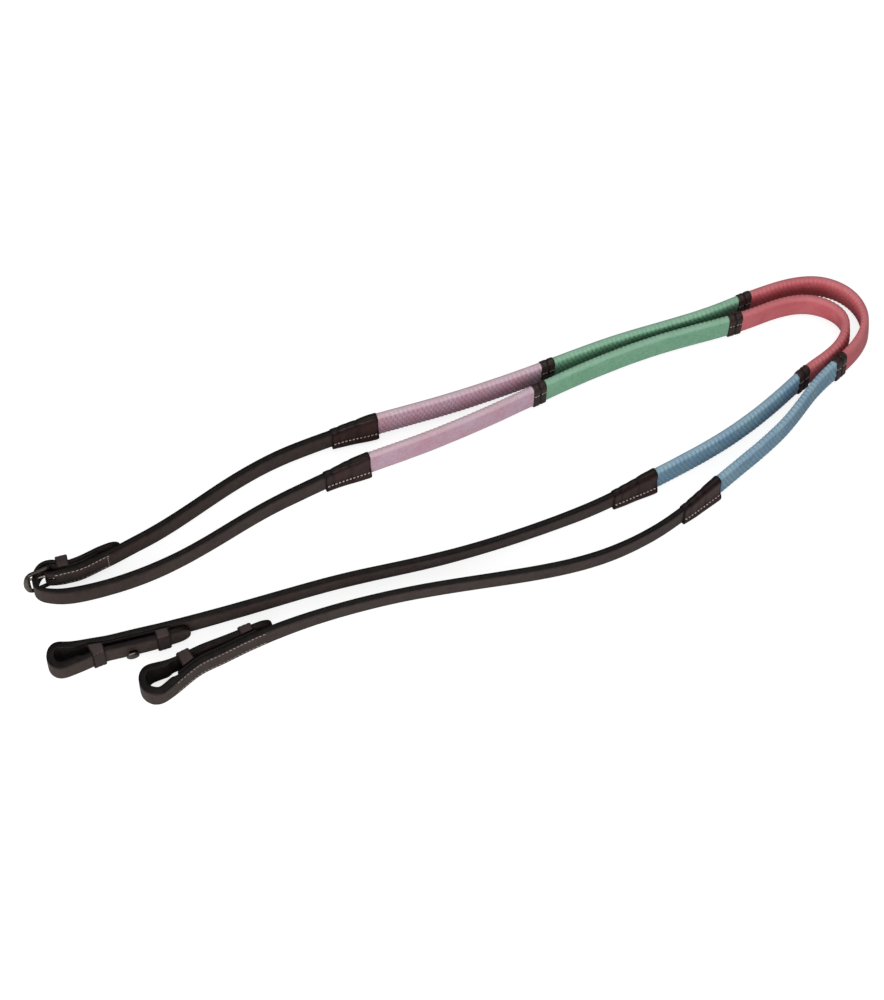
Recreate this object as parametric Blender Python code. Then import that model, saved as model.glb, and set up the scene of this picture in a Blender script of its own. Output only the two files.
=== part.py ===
# A pair of leather riding reins with multicoloured rubber grips, joined by a centre buckle.
#
# Both reins stand on edge along the floor and are laid in a long nested U.  The origin is on
# the floor at the middle of the buckle frame's foot, +Z is up and +X runs along the reins.
# Each rein follows a smooth plan curve through a few points, with a lean at each one.  Every
# strap, grip, sleeve and keeper is a section swept along that curve between two arc lengths.
# Lengths are in millimetres and angles in degrees; meshes are scaled to metres when made.

import math

import bmesh
import bpy
import numpy as np
from mathutils import Matrix

for old in list(bpy.data.objects):
    bpy.data.objects.remove(old, do_unlink=True)

MM = 0.001
UP = np.array([0.0, 0.0, 1.0])


def unit(degrees):
    """Plan direction at an angle from +X."""
    return np.array([math.cos(math.radians(degrees)), math.sin(math.radians(degrees))])


def level(degrees):
    """The same direction in space."""
    return np.array([*unit(degrees), 0.0])


# ---------------------------------------------------------------- driving dimensions
# W is a height across the strap, T a thickness, LEN a length along it
GAP = 0.3  # clearance between neighbouring solids
FLEX_GAP = 1.3  # cut in the leather and rubber at a flex line

STRAP_W = 16.0
STRAP_T = 3.8
CHAMFER = 0.6
TIP_W = 4.0  # a pointed strap's width at its very end

GRIP_W = 21.0
GRIP_T = 5.2
NECK_W = 17.6  # where a grip runs under a sleeve or a divider
NECK_T = 3.6
SHOULDER = 0.02  # length of the step from a grip's body to its neck
CORE_W = 12.0  # webbing inside the grips
CORE_T = 1.2
CORE_SHORT = 0.4  # how far the core stops short of a grip's end inside a sleeve

DIVIDER_LEN = 10.0
DIVIDER_W = 22.4
DIVIDER_T = 6.6
DIVIDER_OVERHANG = 0.1  # how far a divider reaches past the grip under it

SLEEVE_LEN = 33.0
SLEEVE_NARROW_W = 18.4
SLEEVE_NARROW_T = 6.0
SLEEVE_WIDE_W = 22.6
SLEEVE_WIDE_T = 6.8
SLEEVE_SPLAY = 2.2  # how far one lower edge stands out at the wide end
SLEEVE_OVER_GRIP = 9.0
SLEEVE_OVER_STRAP = 22.0

# visible lengths of the coloured grips
LILAC_LEN = {1: 120.0, 2: 124.0}  # by rein
GREEN_LEN = 140.0
RED_LEN = 138.0
BLUE_LEN = 128.0

# centre buckle: a rectangular frame standing on its lower side
FRAME_YAW = 27.0  # direction of the heel bar from the toe bar
FRAME_PITCH = 15.0  # heel bar to toe bar
FRAME_H = 22.8
FRAME_CORNER_R = 2.4
ROD_R = 1.4
TOE_R = 2.4  # the toe bar is swelled and bowed outward
TOE_BOW = 1.5
FOLD_T = 2.0  # thinned leather round the heel bar
FOLD_R = 1.8  # inside radius of that fold
FOLD_MID_R = FOLD_R + FOLD_T / 2
SKIVE_LEN = 10.0  # the chape's turned-back end thins down over this length
SKIVE_T = 0.8
TONGUE_YAW = 195.0
TONGUE_R = 0.9
TONGUE_RING_R = 2.7
TONGUE_RING_HOLE_R = 1.8
TONGUE_RING_HALF_H = 1.7
TONGUE_HOLE_R = 2.2
TONGUE_HOLE_AT = 8.6  # from the heel bar, along the tongue
BILLET_T = 2.8
BILLET_POINT = 8.0
LAYER_GAP = 0.35  # between the layers of leather beside the buckle
CENTRE_KEEPER_LEN = 8.0
CENTRE_KEEPER_T = 1.0

# bit ends: the strap loops round and turns back as a tail, held by two keepers and a stud
# places are measured back from the middle of the bit loop
LOOP_LINED = 1.8  # extra thickness on the inside of the loop
LOOP_LINED_STRAP = 14.0  # where that starts on the strap
LOOP_LINED_TAIL = 15.0  # and ends on the tail
LOOP_LINED_RAMP = 5.0
TAIL_W = 15.2
TAIL_T = 3.4
TAIL_LEN = 85.5
TAIL_POINT = 9.0
LINING_W = 15.0
LINING_T = 1.8
LINING_FROM = 15.0
LINING_TO = 73.0
KEEPER_LEN = 9.0
KEEPER_T = 1.0
KEEPER_NEAR = 23.5
KEEPER_FAR = 67.0
STUD_AT = 46.5
STUD_DROP = 2.4  # the stud sits below the middle of the strap
BIT_FLEX = 99.0  # where the bit end hinges on its strap

# heights of the strap's middle above the floor, and the lengths over which they change
Z_LEATHER = 8.6
Z_GRIP = 11.6
Z_BUCKLE = FRAME_H / 2
Z_BIT = 9.0
BUCKLE_RAMP = (60.0, 40.0)  # before and after the hand flex line
GRIP_RAMP = 25.0  # beyond each sleeve
BIT_RAMP = 60.0  # before the bit flex line

HEEL = unit(FRAME_YAW) * (FRAME_PITCH / 2)
HEEL_MIDDLE = np.array([*HEEL, Z_BUCKLE])

# ---------------------------------------------------------------- plan points
# points the straps pass over on the floor: x, y, lean (+ leans to the left of travel)
REIN1_POINTS = [
    (71, 34, 1), (114, 69, 1), (159, 99.6, 1), (214, 121.3, 1), (271, 140.6, 0), (331, 165.3, -2),
    (390, 191.4, -4), (452, 214.4, -6), (497, 234.8, -6), (534.4, 239.8, -6), (554.6, 226.8, -6),
    (560.9, 205.2, -6), (549.8, 182.4, -4), (526.4, 157.4, -1), (503, 125.2, 1), (468, 89.2, 2),
    (427, 52.0, 2), (376, 20.6, 4), (309, 3, 6), (240, -10.2, 7), (188, -25.8, 5),
]
REIN2_POINTS = [
    (54, -2, 1), (102, 24, 0), (147, 56, 0), (199, 84.4, 0), (254, 108.5, -1), (312, 138, -2),
    (369, 169.1, -2), (429, 194.6, -3), (481, 212.6, -4), (529, 223.4, -6), (547, 208.4, -7),
    (541, 185.6, -5), (522, 168.2, -2), (497, 144.1, 0), (467, 117.1, 1), (426, 89.2, 2),
    (378, 62.6, 4), (323, 38, 8), (262, 16.9, 8), (199, 0.3, 6), (146, -17.2, 4),
]
# upright points at the buckle: x, y
CHAPE_MAIN = [(17.1, 3.0), (24.7, 5.2), (32.2, 9.0), (40.0, 13.7), (47.8, 18.4), (58.0, 25.2)]
CHAPE_HEADINGS = [14.0, 21.0, 29.0, 31.0]  # at the first four of those points
FOLD_ANGLES = [104, 150, 194, 238, 284]  # round the heel bar
BILLET_TIP = (54.0, 22.3)  # on the chape's middle, level with the billet's tip
BILLET_TIP_HEADING = 31.5
# rein 2 through the frame, round the toe bar and away
BILLET_THROUGH = [
    (7.9, 9.5), (2.8, 8.25), (-0.7, 5.0), (-2.5, -0.2), (-2.75, -4.6), (-1.3, -8.8),
    (2.4, -11.5), (7.0, -12.6), (14.0, -13.0), (26.2, -11.2), (40.0, -7.2),
]

# bit ends: "at" is a point on the strap's line, "ahead" and "beside" place the middle of the
# loop from it, "side" is the side of travel the strap turns back on (+1 left, -1 right),
# "leans" are the loop's outward leans at LOOP_ANGLES, "tail" its distances beside the strap's
# line at TAIL_BACKS
LOOP_ANGLES = (-112, -78, -44, -15, 15, 44, 78, 108)
TAIL_BACKS = (15, 23.5, 35, 48, 60, 72, TAIL_LEN)
BIT_ENDS = {
    1: {
        "at": (153.2, -39.4), "heading": 209.7, "ahead": 81.2, "beside": 2.5,
        "radius": 9.7, "side": -1,
        "leans": (3, 4, 0, 0, 0, 5, 10, 7),
        "tail": (9.8, 9.5, 9.5, 8.3, 7.2, 6.3, 4.9),
    },
    2: {
        "at": (108.2, -30.8), "heading": 195.2, "ahead": 94.2, "beside": 5.0,
        "radius": 7.8, "side": 1,
        "leans": (7, 10, 5, 0, 0, 0, 2, 1),
        "tail": (10.0, 8.0, 7.4, 7.4, 7.2, 6.3, 4.9),
    },
}

# colours: base colour, roughness, metallic
LOOKS = {
    "leather": ((0.045, 0.026, 0.024), 0.42, 0.0),
    "webbing": ((0.16, 0.13, 0.12), 0.85, 0.0),
    "lilac": ((0.60, 0.40, 0.52), 0.60, 0.0),
    "green": ((0.18, 0.44, 0.28), 0.60, 0.0),
    "red": ((0.58, 0.12, 0.14), 0.60, 0.0),
    "blue": ((0.20, 0.36, 0.47), 0.60, 0.0),
    "nickel": ((0.62, 0.61, 0.59), 0.22, 1.0),
    "stud": ((0.30, 0.27, 0.25), 0.35, 1.0),
}


def upright(points):
    return [(x, y, 0.0) for x, y in points]


def beside_chape(distance):
    """Points to the left of the chape's first four, in reverse order."""
    points = []
    for (x, y), heading in zip(CHAPE_MAIN, CHAPE_HEADINGS):
        left = unit(heading + 90)
        points.append((x + left[0] * distance, y + left[1] * distance))
    return upright(points[::-1])


def chape_points():
    """Rein 1's start: the chape's turned-back end, the fold round the heel bar, the way out."""
    fold = [tuple(HEEL + unit(angle) * FOLD_MID_R) for angle in FOLD_ANGLES]
    turned = beside_chape(STRAP_T / 2 + LAYER_GAP + FOLD_T / 2)
    return turned + upright(fold + CHAPE_MAIN)


def billet_points():
    """Rein 2's start: the pointed billet beside the chape, through the frame and round."""
    left = unit(BILLET_TIP_HEADING + 90) * (STRAP_T / 2 + 0.5 + BILLET_T / 2)
    tip = (BILLET_TIP[0] + left[0], BILLET_TIP[1] + left[1])
    behind = beside_chape(STRAP_T / 2 + LAYER_GAP + FOLD_T + LAYER_GAP + BILLET_T / 2)
    return upright([tip]) + behind + upright(BILLET_THROUGH)


def bit_end_points(bit):
    """The strap's run into its bit loop, round it and back as the tail; and the loop's middle."""
    ahead = unit(bit["heading"])
    beside = np.array([-ahead[1], ahead[0]]) * bit["side"]
    origin = np.array(bit["at"])
    loop_ahead, loop_beside, radius = bit["ahead"], bit["beside"], bit["radius"]

    def put(along, across, lean=0.0):
        # the loop opens a little upward, so its walls lean outward
        return tuple(origin + ahead * along + beside * across) + (-lean * bit["side"],)

    points = [put(loop_ahead - back, 0.0) for back in (60, 44, 30)]
    points.append(put(loop_ahead - 20, min(0.0, (loop_beside - radius) * 0.28)))
    for angle, lean in zip(LOOP_ANGLES, bit["leans"]):
        offset = radius * unit(angle)
        points.append(put(loop_ahead + offset[0], loop_beside + offset[1], lean))
    points += [put(loop_ahead - back, across) for back, across in zip(TAIL_BACKS, bit["tail"])]
    return points, origin + ahead * loop_ahead + beside * loop_beside


# ---------------------------------------------------------------- curves
def natural_spline(points, step=0.25):
    """Dense samples of the natural cubic spline through the points, by chord length."""
    points = np.array(points, float)
    knots = np.concatenate([[0.0], np.cumsum(np.hypot(*np.diff(points[:, :2], axis=0).T))])
    spans = np.diff(knots)
    count = len(points)
    matrix = np.eye(count)
    rhs = np.zeros_like(points)
    for i in range(1, count - 1):
        before, after = spans[i - 1], spans[i]
        matrix[i, i - 1 : i + 2] = before, 2 * (before + after), after
        rise_after = (points[i + 1] - points[i]) / after
        rhs[i] = 6 * (rise_after - (points[i] - points[i - 1]) / before)
    bend = np.linalg.solve(matrix, rhs)  # second derivatives at the knots
    where = np.linspace(0.0, knots[-1], int(knots[-1] / step) + 1)
    i = np.clip(np.searchsorted(knots, where, side="right") - 1, 0, count - 2)
    to_next = (knots[i + 1] - where)[:, None]
    from_last = (where - knots[i])[:, None]
    span = spans[i][:, None]
    return (
        bend[i] * to_next**3 / (6 * span)
        + bend[i + 1] * from_last**3 / (6 * span)
        + (points[i] / span - bend[i] * span / 6) * to_next
        + (points[i + 1] / span - bend[i + 1] * span / 6) * from_last
    )


def smooth(x, start, end):
    """Smooth step from 0 at start to 1 at end."""
    share = min(1.0, max(0.0, (x - start) / (end - start)))
    return share * share * (3 - 2 * share)


class Rein:
    """A rein's plan curve by arc length, and the arc lengths of its sections.

    Arc length runs from the hand end at the buckle to the bit end.
    """

    def __init__(self, number, hand_points, hand_flex_at, sleeve_at):
        bit = BIT_ENDS[number]
        bit_points, loop_middle = bit_end_points(bit)
        self.tag = f"rein{number}"
        self.number, self.side = number, bit["side"]
        self.trace(hand_points + bit_points)

        self.hand_flex = self.near(*hand_flex_at, after=60)
        self.sleeve = self.near(*sleeve_at, after=150, before=400)
        self.grip = self.sleeve + SLEEVE_LEN
        self.grips = []
        start = self.grip
        for length in (LILAC_LEN[number], GREEN_LEN, RED_LEN, BLUE_LEN):
            self.grips.append((start, start + length))
            start += length + DIVIDER_LEN
        self.dividers = [(end, end + DIVIDER_LEN) for _, end in self.grips[:-1]]
        self.grip_end = self.grips[-1][1]
        self.sleeve2 = self.grip_end + SLEEVE_LEN

        # the loop is the part ahead of its own middle
        ahead = (self.xy - loop_middle) @ unit(bit["heading"])
        bit_part = self.arc > self.sleeve2 + 100
        loop = self.arc[bit_part & (ahead >= 0)]
        self.loop_start, self.loop_end = loop[0], loop[-1]
        strap = bit_part & (self.arc < self.loop_start)
        tail = self.arc > self.loop_end
        self.strap_lookup = (ahead[strap], self.arc[strap])
        self.tail_lookup = (-ahead[tail], self.arc[tail])
        self.bit_flex = self.on_strap(BIT_FLEX)

    def trace(self, points):
        """Sample the plan curve with its arc length, lean, tangent and summed turning."""
        samples = natural_spline(points)
        self.xy = samples[:, :2]
        lean = samples[:, 2]
        # less than half a degree of lean counts as upright
        self.lean = np.sign(lean) * np.maximum(0.0, np.abs(lean) - 0.5)
        self.arc = np.concatenate([[0.0], np.cumsum(np.hypot(*np.diff(self.xy, axis=0).T))])
        tangent = np.gradient(self.xy, self.arc, axis=0)
        self.tangent = tangent / np.linalg.norm(tangent, axis=1)[:, None]
        heading = np.unwrap(np.arctan2(self.tangent[:, 1], self.tangent[:, 0]))
        self.turn = np.concatenate([[0.0], np.cumsum(np.abs(np.diff(heading)))])

    def near(self, x, y, after=0.0, before=1e9):
        """Arc length of the curve's closest point to (x, y)."""
        distance = np.hypot(self.xy[:, 0] - x, self.xy[:, 1] - y)
        distance[(self.arc < after) | (self.arc > before)] = 1e9
        return float(self.arc[int(np.argmin(distance))])

    def on_strap(self, back):
        """Arc length on the strap, this far back from the middle of the bit loop."""
        return float(np.interp(-back, *self.strap_lookup))

    def on_tail(self, back):
        """Arc length on the turned-back tail, this far back from the middle of the loop."""
        return float(np.interp(back, *self.tail_lookup))

    def height(self, arc):
        before, after = BUCKLE_RAMP
        past_buckle = smooth(arc, self.hand_flex - before, self.hand_flex + after)
        on_grips = smooth(arc, self.sleeve - GRIP_RAMP, self.grip) - smooth(
            arc, self.grip_end, self.sleeve2 + GRIP_RAMP
        )
        at_bit = smooth(arc, self.bit_flex - BIT_RAMP, self.bit_flex)
        return (
            Z_LEATHER
            + (Z_BUCKLE - Z_LEATHER) * (1 - past_buckle)
            + (Z_GRIP - Z_LEATHER) * on_grips
            + (Z_BIT - Z_LEATHER) * at_bit
        )

    def at(self, arc):
        """Middle of the strap, its direction to the left of travel, and up along its width."""
        def sample(values):
            return float(np.interp(arc, self.arc, values))

        ahead_x, ahead_y = sample(self.tangent[:, 0]), sample(self.tangent[:, 1])
        length = math.hypot(ahead_x, ahead_y)
        left = np.array([-ahead_y / length, ahead_x / length, 0.0])
        lean = math.radians(sample(self.lean))
        side = left * math.cos(lean) - UP * math.sin(lean)
        up = left * math.sin(lean) + UP * math.cos(lean)
        return np.array([sample(self.xy[:, 0]), sample(self.xy[:, 1]), self.height(arc)]), side, up

    def stations(self, start, end, step=18.0, degrees=11.0, extra=()):
        """Arc lengths from start to end, closer together where the curve turns."""
        inside = (self.arc > start) & (self.arc < end)
        arcs = np.concatenate([[start], self.arc[inside], [end]])
        weight = arcs / step + np.interp(arcs, self.arc, self.turn) / math.radians(degrees)
        count = max(1, int(math.ceil(weight[-1] - weight[0] - 1e-6)))
        out = list(np.interp(np.linspace(weight[0], weight[-1], count + 1), weight, arcs))
        for added in extra:
            if start < added < end:
                ends = (out[0], out[-1])
                out = [arc for arc in out if abs(arc - added) > 0.8 or arc in ends] + [added]
        return sorted(out)


def travel(side):
    """Plan direction of travel where the strap's left is side."""
    return np.array([side[1], -side[0]])


def offset_to(points, middle, side):
    """Distance along side from middle to the point that lies most squarely beside it."""
    apart = points - middle[:2]
    return float((apart @ side[:2])[int(np.argmin(np.abs(apart @ travel(side))))])


# ---------------------------------------------------------------- sections
def box_section(width, thick, chamfer=0.0, shift=0.0):
    """Corners (side, up) of a chamfered box section, anticlockwise, shifted sideways."""
    x, y = thick / 2, width / 2
    if chamfer <= 0:
        corners = [(-x, -y), (x, -y), (x, y), (-x, y)]
    else:
        corners = [
            (-x + chamfer, -y), (x - chamfer, -y), (x, -y + chamfer), (x, y - chamfer),
            (x - chamfer, y), (-x + chamfer, y), (-x, y - chamfer), (-x, -y + chamfer),
        ]
    return [(across + shift, up) for across, up in corners]


def strap_section(arc):
    return box_section(STRAP_W, STRAP_T, CHAMFER)


def channel_section(foot, inside, half_height, thick):
    """A keeper's band: a web beyond inside and two flanges reaching back to foot."""
    outside, high = inside + thick, half_height + thick
    return [
        (foot, -high), (outside, -high), (outside, high), (foot, high),
        (foot, half_height), (inside, half_height), (inside, -half_height), (foot, -half_height),
    ]


def pointed_width(width, length, from_end):
    """Width of a strap that narrows to a rounded point over the last part of its length."""
    share = min(1.0, max(0.0, from_end / length))
    return TIP_W + (width - TIP_W) * math.sqrt(1 - (1 - share) ** 2)


def ellipse(middle, across, up, half_across, half_up, sides, turn=0.0):
    """A ring of points; turn is in steps from one point to the next."""
    angles = [2 * math.pi * (k + turn) / sides for k in range(sides)]
    return [
        middle + across * half_across * math.cos(t) + up * half_up * math.sin(t) for t in angles
    ]


# ---------------------------------------------------------------- meshes
def material(look):
    found = bpy.data.materials.get(look)
    if found:
        return found
    colour, roughness, metallic = LOOKS[look]
    made = bpy.data.materials.new(look)
    made.use_nodes = True
    shader = made.node_tree.nodes["Principled BSDF"]
    shader.inputs["Base Color"].default_value = (*colour, 1.0)
    shader.inputs["Roughness"].default_value = roughness
    shader.inputs["Metallic"].default_value = metallic
    return made


def mesh_object(name, verts, faces, look=None):
    mesh = bpy.data.meshes.new(name)
    mesh.from_pydata([tuple(float(x) * MM for x in vert) for vert in verts], [], faces)
    mesh.validate()
    work = bmesh.new()
    work.from_mesh(mesh)
    bmesh.ops.recalc_face_normals(work, faces=work.faces)
    work.to_mesh(mesh)
    work.free()
    mesh.shade_smooth()
    mesh.set_sharp_from_angle(angle=math.radians(35.0))
    obj = bpy.data.objects.new(name, mesh)
    bpy.context.scene.collection.objects.link(obj)
    if look:
        mesh.materials.append(material(look))
    return obj


def rings(rein, stations, section):
    """The section's corners in space at each station."""
    out = []
    for arc in stations:
        middle, side, up = rein.at(arc)
        out.append([middle + side * x + up * y for x, y in section(arc)])
    return out


def skin(ring_list, closed=False):
    """Vertices and side faces of a stack of rings with equal counts."""
    size, count = len(ring_list[0]), len(ring_list)
    verts = [vert for ring in ring_list for vert in ring]
    faces = []
    for i in range(count if closed else count - 1):
        j = (i + 1) % count
        for k in range(size):
            l = (k + 1) % size
            faces.append((i * size + k, i * size + l, j * size + l, j * size + k))
    return verts, faces


def solid(name, ring_list, look=None):
    """A stack of rings closed by a flat cap at each end."""
    verts, faces = skin(ring_list)
    size = len(ring_list[0])
    faces.append(tuple(range(size - 1, -1, -1)))
    faces.append(tuple(range(len(verts) - size, len(verts))))
    return mesh_object(name, verts, faces, look)


def sweep(name, rein, stations, section, look="leather"):
    """A solid with the section carried along the rein."""
    return solid(name, rings(rein, stations, section), look)


def tube(name, rein, stations, outer, inner, look="leather"):
    """The space between two swept sections with the same number of corners."""
    outer_rings = rings(rein, stations, outer)
    outer_verts, faces = skin(outer_rings)
    inner_verts, inner_faces = skin(rings(rein, stations, inner))
    size, shift = len(outer_rings[0]), len(outer_verts)
    faces += [tuple(shift + i for i in reversed(face)) for face in inner_faces]
    for end in (0, shift - size):
        for k in range(size):
            l = (k + 1) % size
            faces.append((end + k, end + l, shift + end + l, shift + end + k))
    return mesh_object(name, outer_verts + inner_verts, faces, look)


def block(name, middle, ahead, size):
    """A box of size (along, across, high) whose along side points along ahead in plan."""
    along = np.array([ahead[0], ahead[1], 0.0]) * size[0] / 2
    across = np.array([-ahead[1], ahead[0], 0.0]) * size[1] / 2
    high = UP * size[2] / 2
    verts = [
        middle + along * i + across * j + high * k
        for i in (-1, 1) for j in (-1, 1) for k in (-1, 1)
    ]
    faces = [(0, 1, 3, 2), (4, 6, 7, 5), (0, 4, 5, 1), (2, 3, 7, 6), (0, 2, 6, 4), (1, 5, 7, 3)]
    return mesh_object(name, verts, faces)


def boolean(obj, helper, operation):
    modifier = obj.modifiers.new(helper.name, "BOOLEAN")
    modifier.operation = operation
    modifier.solver = "EXACT"
    modifier.object = helper
    helper.hide_render = True
    helper.display_type = "WIRE"


# ---------------------------------------------------------------- straps, grips and sleeves
def build_straps(rein):
    """The plain straps between each flex line and the sleeve next to it."""
    hand = rein.stations(rein.hand_flex + FLEX_GAP, rein.sleeve + SLEEVE_OVER_STRAP)
    bit = rein.stations(rein.sleeve2 - SLEEVE_OVER_STRAP, rein.bit_flex)
    sweep(f"{rein.tag}_hand_strap", rein, hand, strap_section)
    sweep(f"{rein.tag}_bit_strap", rein, bit, strap_section)


def build_grip(rein, index, colour):
    """One rubber grip, drawn in to a neck where it runs under leather, and its webbing core."""
    visible_start, visible_end = rein.grips[index]
    first, last = index == 0, index == 3
    body_start = visible_start + (GAP if first else FLEX_GAP)
    body_end = visible_end - GAP
    start = visible_start - SLEEVE_OVER_GRIP if first else body_start
    # a grip runs on under the divider that follows it, up to the flex line
    end = visible_end + (SLEEVE_OVER_GRIP if last else DIVIDER_LEN - DIVIDER_OVERHANG)

    def outer(arc):
        if body_start - SHOULDER / 2 < arc < body_end + SHOULDER / 2:
            return box_section(GRIP_W, GRIP_T)
        return box_section(NECK_W, NECK_T)

    def inner(arc):
        return box_section(CORE_W + 2 * GAP, CORE_T + 2 * GAP)

    stations = rein.stations(body_start, body_end)
    if first:
        stations = [start, body_start - SHOULDER] + stations
    stations += [body_end + SHOULDER, end]
    tube(f"{rein.tag}_grip_{colour}", rein, stations, outer, inner, colour)

    core_start = start + CORE_SHORT if first else start
    core_end = end - CORE_SHORT if last else end
    between = [arc for arc in stations if core_start + 0.5 < arc < core_end - 0.5]
    sweep(
        f"{rein.tag}_core_{'abcd'[index]}", rein, [core_start] + between + [core_end],
        lambda arc: box_section(CORE_W, CORE_T), "webbing",
    )


def build_divider(rein, index):
    """A leather band over the joint between two grips."""
    tube(
        f"{rein.tag}_divider_{index + 1}", rein,
        rein.stations(*rein.dividers[index], step=8.0),
        lambda arc: box_section(DIVIDER_W, DIVIDER_T, 1.2),
        lambda arc: box_section(NECK_W + 2 * GAP, NECK_T + 2 * GAP, 0.05),
    )


def build_sleeve(rein, name, narrow, wide, splay_side):
    """A tapered leather sleeve from the strap at narrow to the grip at wide.

    Its lower edge stands out on splay_side: +1 left of travel, -1 right.
    """
    def share(arc):
        return (arc - narrow) / (wide - narrow)

    def outer(arc):
        k = share(arc)
        width = SLEEVE_NARROW_W + (SLEEVE_WIDE_W - SLEEVE_NARROW_W) * k
        thick = SLEEVE_NARROW_T + (SLEEVE_WIDE_T - SLEEVE_NARROW_T) * k
        splay = splay_side * SLEEVE_SPLAY * (0.35 + 0.65 * k)
        return [
            (x + (splay if y < -width / 4 and x * splay_side > 0 else 0.0), y)
            for x, y in box_section(width, thick, 1.4)
        ]

    def inner(arc):
        width = STRAP_W + (NECK_W - STRAP_W) * min(1.0, share(arc) * 1.5)
        return box_section(width + 2 * GAP, STRAP_T + 2 * GAP, 0.1)

    stations = rein.stations(min(narrow, wide), max(narrow, wide), step=9.0)
    tube(f"{rein.tag}_{name}", rein, stations, outer, inner)


# ---------------------------------------------------------------- bit ends
def build_bit_billet(rein):
    """The strap from its flex line round the bit loop and back, with the stud's slot."""
    start, end = rein.bit_flex + FLEX_GAP, float(rein.arc[-1])
    lined_start, lined_end = rein.on_strap(LOOP_LINED_STRAP), rein.on_tail(LOOP_LINED_TAIL)

    def section(arc):
        # the tail is narrower and thinner than the strap it turns back along
        k = smooth(arc, rein.loop_start, rein.loop_end)
        width = pointed_width(STRAP_W + (TAIL_W - STRAP_W) * k, TAIL_POINT, end - arc)
        # the doubling fades in on the strap and out on the tail
        fade_in = smooth(arc, lined_start, lined_start + LOOP_LINED_RAMP)
        fade_out = smooth(arc, lined_end - LOOP_LINED_RAMP, lined_end)
        more = LOOP_LINED * fade_in * (1 - fade_out)
        thick = STRAP_T + (TAIL_T - STRAP_T) * k + more
        return box_section(width, thick, CHAMFER, rein.side * more / 2)

    ramp_steps = (0.0, 1.6, 3.4, LOOP_LINED_RAMP)
    ramps = [lined_start + step for step in ramp_steps]
    ramps += [lined_end - step for step in reversed(ramp_steps)]
    stations = rein.stations(start, end, degrees=18.0, extra=ramps)
    stations = [arc for arc in stations if arc < end - TAIL_POINT - 0.5]
    stations += [end - back for back in (TAIL_POINT, 7.5, 6.0, 4.5, 3.0, 1.8, 0.9, 0.3, 0.0)]
    billet = sweep(f"{rein.tag}_bit_billet", rein, stations, section)

    # the slot goes through the tail only
    middle, side, _ = rein.at(rein.on_tail(STUD_AT))
    slot = block(
        f"cut_slot_{rein.number}", middle - UP * STUD_DROP, travel(side), (6.0, 6.0, 4.6)
    )
    boolean(billet, slot, "DIFFERENCE")


def build_lining(rein):
    """A thin layer on the strap's side that faces the tail."""
    shift = rein.side * (STRAP_T / 2 + GAP + LINING_T / 2)
    sweep(
        f"{rein.tag}_stud_lining", rein,
        rein.stations(rein.on_strap(LINING_TO), rein.on_strap(LINING_FROM)),
        lambda arc: box_section(LINING_W, LINING_T, 0.4, shift),
    )


def keeper_stations(middle, length):
    return [middle + length * k for k in (-0.5, -0.17, 0.17, 0.5)]


def build_bit_keepers(rein):
    """Two bands round the tail whose ends reach back to the lining."""
    on_strap = (rein.arc > rein.bit_flex + FLEX_GAP) & (rein.arc < rein.loop_start)

    def band(arc):
        middle, side, _ = rein.at(arc)
        to_strap = abs(offset_to(rein.xy[on_strap], middle, side))
        foot = -(to_strap - STRAP_T / 2 - GAP - LINING_T - GAP)
        profile = channel_section(foot, TAIL_T / 2 + 0.4, TAIL_W / 2 + 0.35, KEEPER_T)
        return [(-rein.side * x, y) for x, y in profile]

    for place, back in (("near", KEEPER_NEAR), ("far", KEEPER_FAR)):
        stations = keeper_stations(rein.on_tail(back), KEEPER_LEN)
        sweep(f"{rein.tag}_billet_keeper_{place}", rein, stations, band)


def build_hook_stud(rein):
    """A base on the lining, a neck through the slot and a hooked head outside the tail."""
    strap_middle, side, _ = rein.at(rein.on_strap(STUD_AT))
    tail_middle, _, _ = rein.at(rein.on_tail(STUD_AT))
    to_tail = side * rein.side
    face = float((tail_middle - strap_middle) @ to_tail) + TAIL_T / 2
    base = STRAP_T / 2 + GAP + LINING_T + GAP
    out = np.array([to_tail[0], to_tail[1], 0.0])
    out /= np.linalg.norm(out)
    along = np.array([*travel(side), 0.0])
    along /= np.linalg.norm(along)
    axis = strap_middle - UP * STUD_DROP
    # depth, half length along the strap, half height, shift towards the bit
    profile = [
        (base, 3.2, 3.2, 0.0), (base + 0.8, 3.2, 3.2, 0.0),
        (base + 0.8 + 0.25, 1.5, 1.5, 0.0), (face + 1.4, 1.5, 1.5, 0.0),
        (face + 2.0, 3.4, 3.0, 0.7), (face + 2.6, 4.3, 3.5, 1.1),
        (face + 3.6, 4.3, 3.5, 1.1), (face + 4.2, 3.3, 2.7, 1.1),
    ]
    ring_list = [
        ellipse(axis + out * depth + along * shift, along, UP, half_length, half_height, 12)
        for depth, half_length, half_height, shift in profile
    ]
    solid(f"{rein.tag}_hook_stud", ring_list, "stud")


# ---------------------------------------------------------------- centre joint
def build_chape(rein, fold_arc):
    """Rein 1's hand end: thinned end, fold round the heel bar, then strap to the flex line."""
    def section(arc):
        if arc < SKIVE_LEN:
            thick = SKIVE_T + (FOLD_T - SKIVE_T) * arc / SKIVE_LEN
            return box_section(STRAP_W - 0.6, thick, 0.15, -(FOLD_T - thick) / 2 * 0.6)
        thick = FOLD_T + (STRAP_T - FOLD_T) * smooth(arc, fold_arc + 5, fold_arc + 14)
        return box_section(STRAP_W, thick, min(CHAMFER, thick * 0.25))

    stations = rein.stations(0.0, rein.hand_flex, step=14.0, degrees=16.0, extra=(SKIVE_LEN,))
    chape = sweep("rein1_chape", rein, stations, section)
    heading = CHAPE_HEADINGS[0]
    slot_middle = HEEL_MIDDLE - level(heading) * 1.6
    slot = block("cut_tongue_slot", slot_middle, unit(heading), (10.0, 14.0, 4.4))
    boolean(chape, slot, "DIFFERENCE")


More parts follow.
